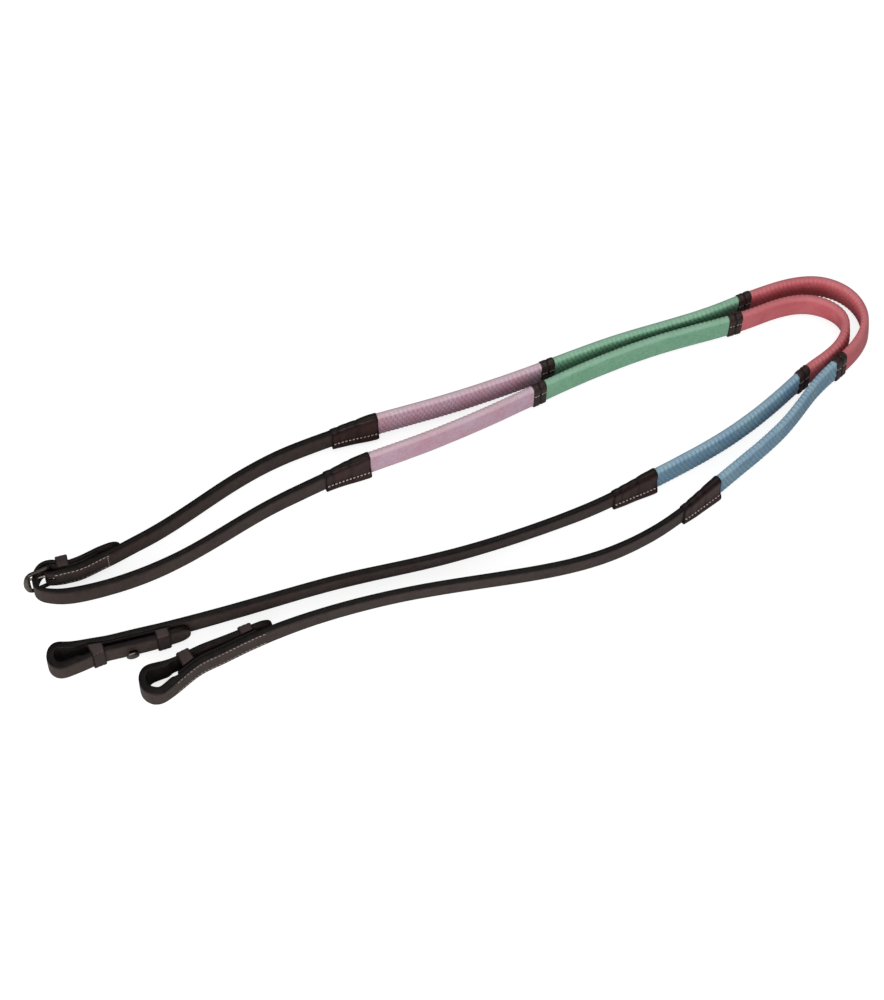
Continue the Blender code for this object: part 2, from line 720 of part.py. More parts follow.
def build_buckle_billet(rein):
    """Rein 2's hand end: a pointed billet through the frame, with a hole for the tongue."""
    def section(arc):
        thick = BILLET_T + (STRAP_T - BILLET_T) * smooth(arc, 75, 100)
        return box_section(pointed_width(STRAP_W, BILLET_POINT, arc), thick, CHAMFER)

    stations = rein.stations(BILLET_POINT, rein.hand_flex, step=14.0, degrees=14.0)
    stations = [arc for arc in stations if arc > BILLET_POINT + 0.6]
    tip = [0.0, 0.3, 0.9, 1.8, 3.0, 4.5, 6.0, BILLET_POINT]
    billet = sweep("rein2_buckle_billet", rein, tip + stations, section)

    ring_list = [
        ellipse(
            HEEL_MIDDLE + level(TONGUE_YAW) * (TONGUE_HOLE_AT + reach),
            level(TONGUE_YAW + 90), UP, TONGUE_HOLE_R, TONGUE_HOLE_R, 16,
        )
        for reach in (-4.0, 4.0)
    ]
    boolean(billet, solid("cut_tongue_hole", ring_list), "DIFFERENCE")


def build_centre_keeper(chape_rein, billet_rein, fold_arc):
    """A band round the billet, beside the fold; its ends reach in between the chape's layers."""
    keeper_arc = chape_rein.near(16.6, 2.9, after=fold_arc + 3, before=60)
    billet_xy = billet_rein.xy[billet_rein.arc < 60]
    to_billet = []
    for k in (-0.55, -0.25, 0.0, 0.25, 0.55):
        middle, side, _ = chape_rein.at(keeper_arc + CENTRE_KEEPER_LEN * k)
        to_billet.append(offset_to(billet_xy, middle, side))
    inside = max(to_billet) + BILLET_T / 2 + 0.5
    profile = channel_section(STRAP_T / 2 + GAP, inside, STRAP_W / 2 + 0.4, CENTRE_KEEPER_T)
    stations = keeper_stations(keeper_arc, CENTRE_KEEPER_LEN)
    sweep("centre_keeper", chape_rein, stations, lambda arc: profile)


def build_frame():
    """A round bar bent into an upright rectangle with rounded corners."""
    along, across = level(FRAME_YAW), level(FRAME_YAW + 90)
    half_length, half_height = FRAME_PITCH / 2, FRAME_H / 2 - ROD_R
    corner_x, corner_z = half_length - FRAME_CORNER_R, half_height - FRAME_CORNER_R
    path = []  # place along the frame, height from its middle, outward angle, bar radius
    for x_sign, z_sign, first_angle in ((1, 1, 0), (-1, 1, 90), (-1, -1, 180), (1, -1, 270)):
        for k in range(4):
            angle = math.radians(first_angle + 30 * k)
            x = x_sign * corner_x + FRAME_CORNER_R * math.cos(angle)
            z = z_sign * corner_z + FRAME_CORNER_R * math.sin(angle)
            path.append((x, z, angle, ROD_R))
        if (x_sign, z_sign) == (-1, 1):
            # the toe bar, between the two corners away from the heel bar
            for share in (0.6, 0.2, -0.2, -0.6):
                z = share * corner_z
                swell = 1 - (z / half_height) ** 2
                radius = ROD_R + (TOE_R - ROD_R) * swell
                path.append((-half_length - TOE_BOW * swell, z, math.pi, radius))

    flats = 1 / math.cos(math.pi / 8)  # sets the bar's flats, not its corners, at the radius
    ring_list = []
    for x, z, angle, radius in path:
        inward = -(along * math.cos(angle) + UP * math.sin(angle))
        half_across = ROD_R + (radius - ROD_R) * 0.2
        middle = along * x + UP * (z + Z_BUCKLE)
        ring_list.append(
            ellipse(middle, inward, across, radius * flats, half_across * flats, 8, turn=0.5)
        )
    mesh_object("buckle_frame", *skin(ring_list, closed=True), "nickel")


def build_tongue():
    """A ring round the heel bar and a straight pin whose tip rests past the toe bar."""
    ring_list = [
        ellipse(HEEL_MIDDLE + UP * z, level(0), level(90), radius, radius, 16)
        for radius, z in (
            (TONGUE_RING_R, -TONGUE_RING_HALF_H), (TONGUE_RING_HOLE_R, -TONGUE_RING_HALF_H),
            (TONGUE_RING_HOLE_R, TONGUE_RING_HALF_H), (TONGUE_RING_R, TONGUE_RING_HALF_H),
        )
    ]
    tongue = mesh_object("buckle_tongue", *skin(ring_list, closed=True), "nickel")
    pin_rings = []
    # distance from the heel bar, share of the pin's radius
    for reach, share in ((2.15, 1.0), (15.0, 1.0), (16.6, 0.85), (17.2, 0.45)):
        middle = HEEL_MIDDLE + level(TONGUE_YAW) * reach
        radius = TONGUE_R * share / math.cos(math.pi / 8)
        pin_rings.append(ellipse(middle, level(TONGUE_YAW + 90), UP, radius, radius, 8))
    boolean(tongue, solid("join_pin", pin_rings), "UNION")


# ---------------------------------------------------------------- pivots
def pivot(names, point):
    """Put the origins of pieces that turn about a joint on its axis."""
    point = point * MM
    for name in names:
        obj = bpy.data.objects[name]
        obj.data.transform(Matrix.Translation(tuple(-point)))
        obj.location = tuple(point)


def set_pivots(rein):
    first, second, third = [end for _, end in rein.dividers]
    groups = [
        (rein.hand_flex, ["hand_strap", "hand_sleeve", "grip_lilac", "core_a", "divider_1"]),
        (first, ["grip_green", "core_b", "divider_2"]),
        (second, ["grip_red", "core_c", "divider_3"]),
        (third, ["grip_blue", "core_d", "bit_sleeve", "bit_strap"]),
        (rein.bit_flex, [
            "bit_billet", "stud_lining", "billet_keeper_near", "billet_keeper_far", "hook_stud",
        ]),
    ]
    for arc, pieces in groups:
        pivot([f"{rein.tag}_{piece}" for piece in pieces], rein.at(arc)[0])


# ---------------------------------------------------------------- build
rein1 = Rein(
    1, chape_points() + REIN1_POINTS, hand_flex_at=(84, 46), sleeve_at=(190.3, 112.8)
)
rein2 = Rein(
    2, billet_points() + REIN2_POINTS, hand_flex_at=(58, 0), sleeve_at=(186.4, 78.4)
)

for rein in (rein1, rein2):
    build_straps(rein)
    build_sleeve(rein, "hand_sleeve", rein.sleeve, rein.grip, splay_side=-1)
    for i, colour in enumerate(("lilac", "green", "red", "blue")):
        build_grip(rein, i, colour)
    for i in range(3):
        build_divider(rein, i)
    build_sleeve(rein, "bit_sleeve", rein.sleeve2, rein.grip_end, splay_side=1)
    build_bit_billet(rein)
    build_lining(rein)
    build_bit_keepers(rein)
    build_hook_stud(rein)

# where the fold passes behind the heel bar
fold_arc = rein1.near(*(HEEL + unit(FOLD_ANGLES[2]) * FOLD_MID_R), before=60)
build_chape(rein1, fold_arc)
build_buckle_billet(rein2)
build_centre_keeper(rein1, rein2, fold_arc)
build_frame()
build_tongue()

for rein in (rein1, rein2):
    set_pivots(rein)
pivot(["buckle_frame", "buckle_tongue"], HEEL_MIDDLE)
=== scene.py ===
# A pair of leather reins with coloured rubber grips, lying on the floor (z = 0) on edge, so each
# strap's width is upright.  The centre buckle stands at the origin.  Both reins run from it towards
# +X, turn round at x = 560 or so and come back to bit loops near (80, -75).  Most pieces ride on a
# CAD body; those spanning two bodies are left unattached.  Lengths are in millimetres unless a
# comment says otherwise.
import math

import bmesh
import bpy
import numpy as np
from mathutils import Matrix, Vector


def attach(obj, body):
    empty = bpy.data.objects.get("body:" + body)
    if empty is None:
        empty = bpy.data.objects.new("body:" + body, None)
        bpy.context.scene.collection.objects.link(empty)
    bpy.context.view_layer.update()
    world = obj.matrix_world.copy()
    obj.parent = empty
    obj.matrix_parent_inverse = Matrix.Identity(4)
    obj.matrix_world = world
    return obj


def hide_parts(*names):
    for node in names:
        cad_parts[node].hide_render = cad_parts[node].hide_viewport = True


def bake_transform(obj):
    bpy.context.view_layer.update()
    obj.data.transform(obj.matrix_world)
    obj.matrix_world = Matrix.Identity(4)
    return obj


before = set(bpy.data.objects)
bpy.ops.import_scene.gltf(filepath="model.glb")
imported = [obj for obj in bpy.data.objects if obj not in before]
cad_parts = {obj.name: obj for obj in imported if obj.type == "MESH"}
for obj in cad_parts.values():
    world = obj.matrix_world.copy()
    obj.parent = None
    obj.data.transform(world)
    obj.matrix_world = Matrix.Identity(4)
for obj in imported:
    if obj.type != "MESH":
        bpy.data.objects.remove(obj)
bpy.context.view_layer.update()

MM = 0.001

# ---------------------------------------------------------------- dimensions
STRAP_W = 16.0
STRAP_T = 3.8

COLOURS = ("lilac", "green", "red", "blue")  # grips from the hand end to the bit end
GRIP_LENGTHS = {1: (120.0, 140.0, 138.0, 128.0), 2: (124.0, 140.0, 138.0, 128.0)}
GRIP_W = 21.0
GRIP_T = 5.2
GRIP_EDGE_R = 2.1
PAD_PITCH = 3.2  # moulded pads, along the grip
PAD_ROWS = 5
GRIP_STEP = PAD_PITCH / 4
GRIP_FLEX_LEN = 14 * PAD_PITCH  # first part of a grip, made as a separate piece
GRIP_UNDER_SLEEVE = 2.2  # how far a grip's end runs under its neighbour
GRIP_UNDER_DIVIDER = 1.6
DIVIDER_LEN = 10.0

SLEEVE_LEN = 33.0
SLEEVE_NARROW = np.array([9.2, 2.95])  # half height, half thickness
SLEEVE_WIDE = np.array([11.3, 3.4])
SLEEVE_SPLAY = 2.2  # how far the sewn lower edge stands out at the wide end
SLEEVE_WALL = 1.0
SLEEVE_OVERLAP = 3.5  # how far the strap runs into the sleeve

Z_LEATHER = 8.6  # heights of the strap's middle above the floor
Z_GRIP = 11.6
Z_BUCKLE = 11.4
Z_BIT = 9.0

# centre buckle: a rectangular frame standing on its lower side
FRAME_YAW = 27.0  # direction of the heel bar from the toe bar, degrees from +X
FRAME_PITCH = 15.0  # heel bar to toe bar
FRAME_H = 22.8
ROD_R = 1.4
TOE_R = 2.4  # the toe bar is swelled and bowed outward
TOE_BOW = 1.5
FRAME_CORNER_R = 2.4
FOLD_T = 2.0  # skived leather round the heel bar
FOLD_R = 1.8  # inside radius of that fold
TONGUE_YAW = 195.0
TONGUE_HOLE_AT = 8.6  # from the heel bar
TONGUE_HOLE_R = 2.2
BILLET_T = 2.8
LAYER_GAP = 0.35  # between the layers of leather at the buckle
CENTRE_KEEPER_LEN = 8.0
CENTRE_KEEPER_T = 1.0

# bit ends: the strap turns back on itself as a tail held by two keepers and a stud
LOOP_LINED = 1.8  # extra thickness inside the loop
TAIL_W = 15.2
TAIL_T = 3.4
LINING_T = 1.8
LINING_W = 15.0
LINING_EDGE_R = 0.6
LINING_END_R = 0.5
KEEPER_LEN = 9.0
KEEPER_T = 1.0
KEEPER_NEAR = 23.5  # this and the next six are measured back from the middle of the bit loop
STUD_AT = 46.5
KEEPER_FAR = 67.0
TAIL_LEN = 85.5
LINING_FROM = 15.0
LINING_TO = 73.0
BIT_FLEX = 99.0  # where the bit end hinges on its strap
STUD_DROP = 2.4  # the stud sits below the middle of the strap

HAND_BEND = (38.0, 42.0)  # reach of the flex piece before and after the flex line
BIT_BEND = (36.0, 13.0)

TIP_W = 3.0  # width left at the rounded end of a strap
TIP_STEPS = np.array([0.0, 0.15, 0.45, 0.9, 1.5, 2.2, 3.0, 4.0, 5.0, 6.0, 7.0, 8.0, 9.0])
STITCH_PITCH = 2.7
STITCH_SLANT = 9.0  # degrees

# ---------------------------------------------------------------- measured plan
# points the straps pass over: x, y, lean in degrees (+ leans to the left of travel)
REIN1_POINTS = [
    (71, 34, 1), (114, 69, 1), (159, 99.6, 1), (214, 121.3, 1), (271, 140.6, 0), (331, 165.3, -2),
    (390, 191.4, -4), (452, 214.4, -6), (497, 234.8, -6), (534.4, 239.8, -6), (554.6, 226.8, -6),
    (560.9, 205.2, -6), (549.8, 182.4, -4), (526.4, 157.4, -1), (503, 125.2, 1), (468, 89.2, 2),
    (427, 52.0, 2), (376, 20.6, 4), (309, 3, 6), (240, -10.2, 7), (188, -25.8, 5),
]
REIN2_POINTS = [
    (54, -2, 1), (102, 24, 0), (147, 56, 0), (199, 84.4, 0), (254, 108.5, -1), (312, 138, -2),
    (369, 169.1, -2), (429, 194.6, -3), (481, 212.6, -4), (529, 223.4, -6), (547, 208.4, -7),
    (541, 185.6, -5), (522, 168.2, -2), (497, 144.1, 0), (467, 117.1, 1), (426, 89.2, 2),
    (378, 62.6, 4), (323, 38, 8), (262, 16.9, 8), (199, 0.3, 6), (146, -17.2, 4),
]
# Bit ends.  The loop's middle lies "ahead" of the point "at" and "beside" it; "side" is +1 when
# the loop turns left.  "leans" are degrees round the loop, "tail" the tail's distances beside.
BIT1 = {
    "at": (153.2, -39.4), "heading": 209.7, "ahead": 81.2, "beside": 2.5, "radius": 9.7,
    "side": -1, "leans": (3, 4, 0, 0, 0, 5, 10, 7), "tail": (9.8, 9.5, 9.5, 8.3, 7.2, 6.3, 4.9),
}
BIT2 = {
    "at": (108.2, -30.8), "heading": 195.2, "ahead": 94.2, "beside": 5.0, "radius": 7.8,
    "side": 1, "leans": (7, 10, 5, 0, 0, 0, 2, 1), "tail": (10.0, 8.0, 7.4, 7.4, 7.2, 6.3, 4.9),
}
LOOP_ANGLES = (-112, -78, -44, -15, 15, 44, 78, 108)
TAIL_BACKS = (15, 23.5, 35, 48, 60, 72, TAIL_LEN)

# rein 1's strap as it leaves the heel bar, x, y, and its bearing at the first four points
CHAPE_POINTS = [(17.1, 3.0), (24.7, 5.2), (32.2, 9.0), (40.0, 13.7), (47.8, 18.4), (58.0, 25.2)]
CHAPE_BEARINGS = [14.0, 21.0, 29.0, 31.0]
FOLD_ANGLES = (104, 150, 194, 238, 284)
# rein 2's billet: the chape point its tip lies beside, then its way through the frame and back
BILLET_TIP = (54.0, 22.3)
BILLET_TIP_BEARING = 31.5
BILLET_THROUGH = [
    (7.9, 9.5), (2.8, 8.25), (-0.7, 5.0), (-2.5, -0.2), (-2.75, -4.6), (-1.3, -8.8),
    (2.4, -11.5), (7.0, -12.6), (14.0, -13.0), (26.2, -11.2), (40.0, -7.2),
]


# ---------------------------------------------------------------- vectors and curves
UPWARD = np.array([0.0, 0.0, 1.0])


def unit(degrees):
    return np.array([math.cos(math.radians(degrees)), math.sin(math.radians(degrees))])


def level(vector, z=0.0):
    """The x and y of a vector, with the given z."""
    return np.array([vector[0], vector[1], z])


def left_of(vector):
    return np.array([-vector[1], vector[0], 0.0])


def ease(value, start, end):
    """Smooth step from 0 at start to 1 at end."""
    share = np.clip((value - start) / (end - start), 0, 1)
    return share * share * (3 - 2 * share)


def hump(value, middle, width):
    return np.exp(-(((value - middle) / width) ** 2))


def wave(stations, seed, size):
    """A smooth small irregularity along a strap."""
    return size * (
        0.5 * np.sin(stations / 23.0 + seed * 1.7)
        + 0.3 * np.sin(stations / 9.3 + seed * 2.9)
        + 0.2 * np.sin(stations / 4.1 + seed * 4.3)
    )


def chord_lengths(xy):
    return np.concatenate([[0.0], np.cumsum(np.hypot(*np.diff(xy, axis=0).T))])


def natural_spline(points, step=0.25):
    """Dense samples of the natural cubic spline through the points, by chord length."""
    points = np.array(points, float)
    knots = chord_lengths(points[:, :2])
    gaps = np.diff(knots)
    count = len(points)
    matrix = np.eye(count)
    right = np.zeros_like(points)
    for i in range(1, count - 1):
        before, after = gaps[i - 1], gaps[i]
        matrix[i, i - 1:i + 2] = before, 2 * (before + after), after
        slope_after = (points[i + 1] - points[i]) / after
        right[i] = 6 * (slope_after - (points[i] - points[i - 1]) / before)
    bend = np.linalg.solve(matrix, right)
    along = np.linspace(0.0, knots[-1], int(knots[-1] / step) + 1)
    i = np.clip(np.searchsorted(knots, along, side="right") - 1, 0, count - 2)
    left = (knots[i + 1] - along)[:, None]
    done = (along - knots[i])[:, None]
    gap = gaps[i][:, None]
    return (
        bend[i] * left**3 / (6 * gap)
        + bend[i + 1] * done**3 / (6 * gap)
        + (points[i] / gap - bend[i] * gap / 6) * left
        + (points[i + 1] / gap - bend[i + 1] * gap / 6) * done
    )


def bit_end_plan(bit):
    """The strap's run into its bit loop, round it and back as the tail; and the loop's middle."""
    heading = unit(bit["heading"])
    beside = left_of(heading)[:2] * bit["side"]
    middle_u, middle_v, radius = bit["ahead"], bit["beside"], bit["radius"]

    def put(forward, sideways, lean=0.0):
        # the loop opens a little upward, so its walls lean outward
        place = np.array(bit["at"]) + heading * forward + beside * sideways
        return (*place, -lean * bit["side"])

    points = [put(middle_u - back, 0.0) for back in (60, 44, 30)]
    points.append(put(middle_u - 20, min(0.0, (middle_v - radius) * 0.28)))
    for angle, lean in zip(LOOP_ANGLES, bit["leans"]):
        x, y = unit(angle) * radius
        points.append(put(middle_u + x, middle_v + y, lean))
    points += [put(middle_u - back, off) for back, off in zip(TAIL_BACKS, bit["tail"])]
    return points, np.array(put(middle_u, middle_v)[:2])


# ---------------------------------------------------------------- the reins' courses
class Rein:
    """A rein's plan curve by arc length, its lean and height, and where its sections lie."""

    def __init__(self, number, points, bit, sleeve_at, flex_at):
        bit_points, loop_middle = bit_end_plan(bit)
        samples = natural_spline(points + bit_points)
        self.number, self.side = number, bit["side"]
        self.heading = unit(bit["heading"])
        self.xy = samples[:, :2]
        # less than half a degree of lean counts as upright
        lean = samples[:, 2]
        self.lean = np.sign(lean) * np.maximum(0.0, np.abs(lean) - 0.5)
        self.arc = chord_lengths(self.xy)
        self.end = float(self.arc[-1])
        travel = np.gradient(self.xy, self.arc, axis=0)
        self.travel = travel / np.linalg.norm(travel, axis=1)[:, None]
        bearing = np.unwrap(np.arctan2(self.travel[:, 1], self.travel[:, 0]))
        self.turn = np.concatenate([[0.0], np.cumsum(np.abs(np.diff(bearing)))])

        self.hand_flex = self.near(*flex_at, after=60)
        self.hand_bend = (self.hand_flex - HAND_BEND[0], self.hand_flex + HAND_BEND[1])
        self.sleeve_start = self.near(*sleeve_at, after=150, before=400)
        self.grip_start = start = self.sleeve_start + SLEEVE_LEN
        self.grips = []
        for length in GRIP_LENGTHS[number]:
            self.grips.append((start, start + length))
            start += length + DIVIDER_LEN
        self.grip_end = self.grips[-1][1]
        self.sleeve_end = self.grip_end + SLEEVE_LEN
        self.find_bit_loop(loop_middle)
        self.bit_flex = self.on_run(BIT_FLEX)
        self.bit_bend = (self.bit_flex - BIT_BEND[0], self.bit_flex + BIT_BEND[1])

        self.coarse = self.arc[::8]
        self.heights = self.height(self.coarse)

    def near(self, x, y, after=0.0, before=1e9):
        """Arc length of the course's closest point to (x, y)."""
        distance = np.hypot(self.xy[:, 0] - x, self.xy[:, 1] - y)
        distance[(self.arc < after) | (self.arc > before)] = 1e9
        return float(self.arc[int(np.argmin(distance))])

    def find_bit_loop(self, middle):
        ahead = (self.xy - middle) @ self.heading
        far = self.arc > self.sleeve_end + 100
        loop = self.arc[far & (ahead >= 0)]
        self.loop_start, self.loop_end = loop[0], loop[-1]
        run = far & (ahead < 0) & (self.arc < self.loop_start)
        tail = self.arc > self.loop_end
        self.run_ahead, self.run_arc = ahead[run], self.arc[run]
        self.tail_back, self.tail_arc = -ahead[tail], self.arc[tail]

    def on_run(self, back):
        """Arc length on the run into the loop, `back` mm behind the loop's middle."""
        return float(np.interp(-back, self.run_ahead, self.run_arc))

    def on_tail(self, back):
        return float(np.interp(back, self.tail_back, self.tail_arc))

    def lined(self, stations):
        """Share of the loop's inner doubling: full round the loop, none beyond it."""
        start, end = self.on_run(14.0), self.on_tail(15.0)
        return ease(stations, start, start + 5.0) * (1 - ease(stations, end - 5.0, end))

    def height(self, stations):
        from_buckle = ease(stations, self.hand_flex - 60, self.hand_flex + 40)
        onto_grips = ease(stations, self.sleeve_start - 25, self.grip_start)
        off_grips = ease(stations, self.grip_end, self.sleeve_end + 25)
        to_bit = ease(stations, self.bit_flex - 60, self.bit_flex)
        return (
            Z_LEATHER
            + (Z_BUCKLE - Z_LEATHER) * (1 - from_buckle)
            + (Z_GRIP - Z_LEATHER) * (onto_grips - off_grips)
            + (Z_BIT - Z_LEATHER) * to_bit
        )

    def frames(self, at):
        """Middle, side (left of travel) and up directions at one arc length or many."""
        x, y = (np.interp(at, self.arc, self.xy[:, i]) for i in (0, 1))
        travel_x, travel_y = (np.interp(at, self.arc, self.travel[:, i]) for i in (0, 1))
        size = np.hypot(travel_x, travel_y)
        travel_x, travel_y = travel_x / size, travel_y / size
        lean = np.radians(np.interp(at, self.arc, self.lean))
        cos, sin = np.cos(lean), np.sin(lean)
        middle = np.stack([x, y, np.interp(at, self.coarse, self.heights)], -1)
        side = np.stack([-travel_y * cos, travel_x * cos, -sin], -1)
        up = np.stack([-travel_y * sin, travel_x * sin, cos], -1)
        return middle, side, up

    def stations(self, start, end, step=2.5, degrees=3.0):
        """Arc lengths from start to end, closer together where the rein turns."""
        inside = (self.arc > start) & (self.arc < end)
        arc = np.concatenate([[start], self.arc[inside], [end]])
        weight = arc / step + np.interp(arc, self.arc, self.turn) / math.radians(degrees)
        count = max(1, int(math.ceil(weight[-1] - weight[0] - 1e-6)))
        return np.interp(np.linspace(weight[0], weight[-1], count + 1), weight, arc)

    def offset_to(self, at, path):
        """How far to the left of this rein at one arc length a plan path passes."""
        middle, side, _ = self.frames(at)
        away = path - middle[:2]
        abreast = int(np.argmin(np.abs(away @ left_of(side)[:2])))
        return float((away @ side[:2])[abreast])


def upright(points):
    return [(x, y, 0.0) for x, y in points]


def beside_chape(distance):
    """The chape's first four points moved to its left, the farthest from the buckle first."""
    moved = [
        tuple(np.array(point) + unit(bearing + 90) * distance)
        for point, bearing in zip(CHAPE_POINTS, CHAPE_BEARINGS)
    ]
    return moved[::-1]


HEEL = unit(FRAME_YAW) * (FRAME_PITCH / 2)
FOLD_MIDDLE_R = FOLD_R + FOLD_T / 2
turned_off = STRAP_T / 2 + LAYER_GAP + FOLD_T / 2
billet_off = STRAP_T / 2 + LAYER_GAP + FOLD_T + LAYER_GAP + BILLET_T / 2
tip_off = STRAP_T / 2 + 0.5 + BILLET_T / 2

# rein 1 starts with the turned-back end of its chape, folds round the heel bar and runs out
fold_points = [tuple(HEEL + unit(angle) * FOLD_MIDDLE_R) for angle in FOLD_ANGLES]
rein1 = Rein(
    1,
    upright(beside_chape(turned_off) + fold_points + CHAPE_POINTS) + REIN1_POINTS,
    BIT1,
    sleeve_at=(190.3, 112.8),
    flex_at=(84, 46),
)
# rein 2 starts with its rounded billet tip beside the chape, passes through the frame and turns
billet_tip = tuple(np.array(BILLET_TIP) + unit(BILLET_TIP_BEARING + 90) * tip_off)
rein2 = Rein(
    2,
    upright([billet_tip] + beside_chape(billet_off) + BILLET_THROUGH) + REIN2_POINTS,
    BIT2,
    sleeve_at=(186.4, 78.4),
    flex_at=(58, 0),
)


# ---------------------------------------------------------------- mesh tools
def corner(x, y, radius, start, end, count):
    """Points of an arc, angles in degrees."""
    angles = np.radians(np.linspace(start, end, count))
    return np.stack([x + radius * np.cos(angles), y + radius * np.sin(angles)], 1)


def oval(middle, across, half_across, up, half_up, count, powers=(1.0, 1.0)):
    """A ring of points; powers under 1 square it off along its two axes."""
    angles = np.linspace(0, 2 * math.pi, count, endpoint=False)
    a, b = (
        np.sign(value) * np.abs(value) ** power
        for value, power in zip((np.cos(angles), np.sin(angles)), powers)
    )
    return middle + np.outer(half_across * a, across) + np.outer(half_up * b, up)


def skin(rings, closed=False):
    """Points and faces over rings laid one after another: capped, or joined into a loop."""
    rings = np.asarray(rings, float)
    count, size = rings.shape[:2]
    row = np.arange(count if closed else count - 1)[:, None]
    here, beyond = row * size, (row + 1) % count * size
    first = np.arange(size)[None, :]
    second = (first + 1) % size
    quads = np.stack([here + first, here + second, beyond + second, beyond + first], -1)
    faces = quads.reshape(-1, 4).tolist()
    if not closed:
        faces.append(list(range(size - 1, -1, -1)))
        faces.append(list(range((count - 1) * size, count * size)))
    return rings.reshape(-1, 3), faces


def make(name, skins, material, tone=None, sharp=40.0, painted_highlight=None):
    """A smooth-shaded object; edges of more than `sharp` degrees stay sharp.

    tone darkens a material, and a painted highlight pales it, point by point."""
    verts, faces = [], []
    for points, skin_faces in skins:
        faces += [[len(verts) + k for k in face] for face in skin_faces]
        verts += (points * MM).tolist()
    mesh = bpy.data.meshes.new(name)
    mesh.from_pydata(verts, [], faces)
    mesh.validate()
    for key, values in (("tone", tone), ("painted_highlight", painted_highlight)):
        if values is not None:
            attribute = mesh.attributes.new(key, "FLOAT", "POINT")
            attribute.data.foreach_set("value", np.asarray(values, np.float32).ravel())
    bm = bmesh.new()
    bm.from_mesh(mesh)
    bmesh.ops.recalc_face_normals(bm, faces=bm.faces)
    bm.to_mesh(mesh)
    bm.free()
    mesh.shade_smooth()
    mesh.set_sharp_from_angle(angle=math.radians(sharp))
    mesh.materials.append(material)
    made = bpy.data.objects.new(name, mesh)
    bpy.context.scene.collection.objects.link(made)
    return made


def loft(name, rein, stations, sides, ups, material, tone, painted_highlight=0.0, sharp=40.0):
    """A solid swept along the rein; sides and ups hold one section ring per station."""
    middle, side, up = rein.frames(stations)
    rings = middle[:, None] + side[:, None] * sides[..., None] + up[:, None] * ups[..., None]
    tone = np.broadcast_to(tone, sides.shape)
    if painted_highlight is not None:
        painted_highlight = np.broadcast_to(painted_highlight, sides.shape)
    return make(name, [skin(rings)], material, tone, sharp, painted_highlight)


def with_lips(stations, sides, ups, tone, lips, lip_tone, setback=0.0):
    """Add shrunk rings at both ends of a sweep.  lips are (inset, depth into the piece), the
    outermost in ring order first; setback moves the end rings themselves inward."""
    insets, depths = np.array(lips).T

    def extend(rows):
        first, last = (
            row * (1 - insets[:, None] / np.abs(row).max()) for row in (rows[0], rows[-1])
        )
        return np.vstack([first, rows, last[::-1]])

    body = np.array(stations)
    body[0] += setback
    body[-1] -= setback
    stations = np.concatenate([stations[0] + depths, body, (stations[-1] - depths)[::-1]])
    lip_tones = np.full((len(lips), sides.shape[1]), lip_tone)
    return stations, extend(sides), extend(ups), np.vstack([lip_tones, tone, lip_tones])


def carve(target, name, middle, through, reach, across, half_across, half_up, count, powers=(1, 1)):
    """Cut an oval hole of the given half sizes, running `reach` each way along `through`."""
    rings = [
        oval(middle + through * distance, across, half_across, UPWARD, half_up, count, powers)
        for distance in (-reach, reach)
    ]
    cutter = make(name, [skin(rings)], STRAP)
    modifier = target.modifiers.new("cut", "BOOLEAN")
    modifier.operation, modifier.solver, modifier.object = "DIFFERENCE", "EXACT", cutter
    bpy.context.view_layer.update()
    graph = bpy.context.evaluated_depsgraph_get()
    mesh = bpy.data.meshes.new_from_object(
        target.evaluated_get(graph), preserve_all_data_layers=True, depsgraph=graph
    )
    target.modifiers.clear()
    target.data = mesh
    bpy.data.objects.remove(cutter, do_unlink=True)


def on_body(piece, body, *nodes, slot="leather"):
    """Fix a piece to a CAD body, in place of the named CAD nodes."""
    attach(piece, body)
    if nodes:
        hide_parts(*nodes)


def bends(piece, body_a, body_b, rein, start, end, slot="leather"):
    """Bake a piece's placement into its mesh; it is not attached to either body."""
    first, last = rein.frames([start, end])[0] * MM
    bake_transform(piece)


# ---------------------------------------------------------------- materials
def linear(colour):
    """A 0-255 sRGB colour as linear RGBA."""
    shares = [value / 255 for value in colour]
    return (*(v / 12.92 if v <= 0.04045 else ((v + 0.055) / 1.055) ** 2.4 for v in shares), 1.0)


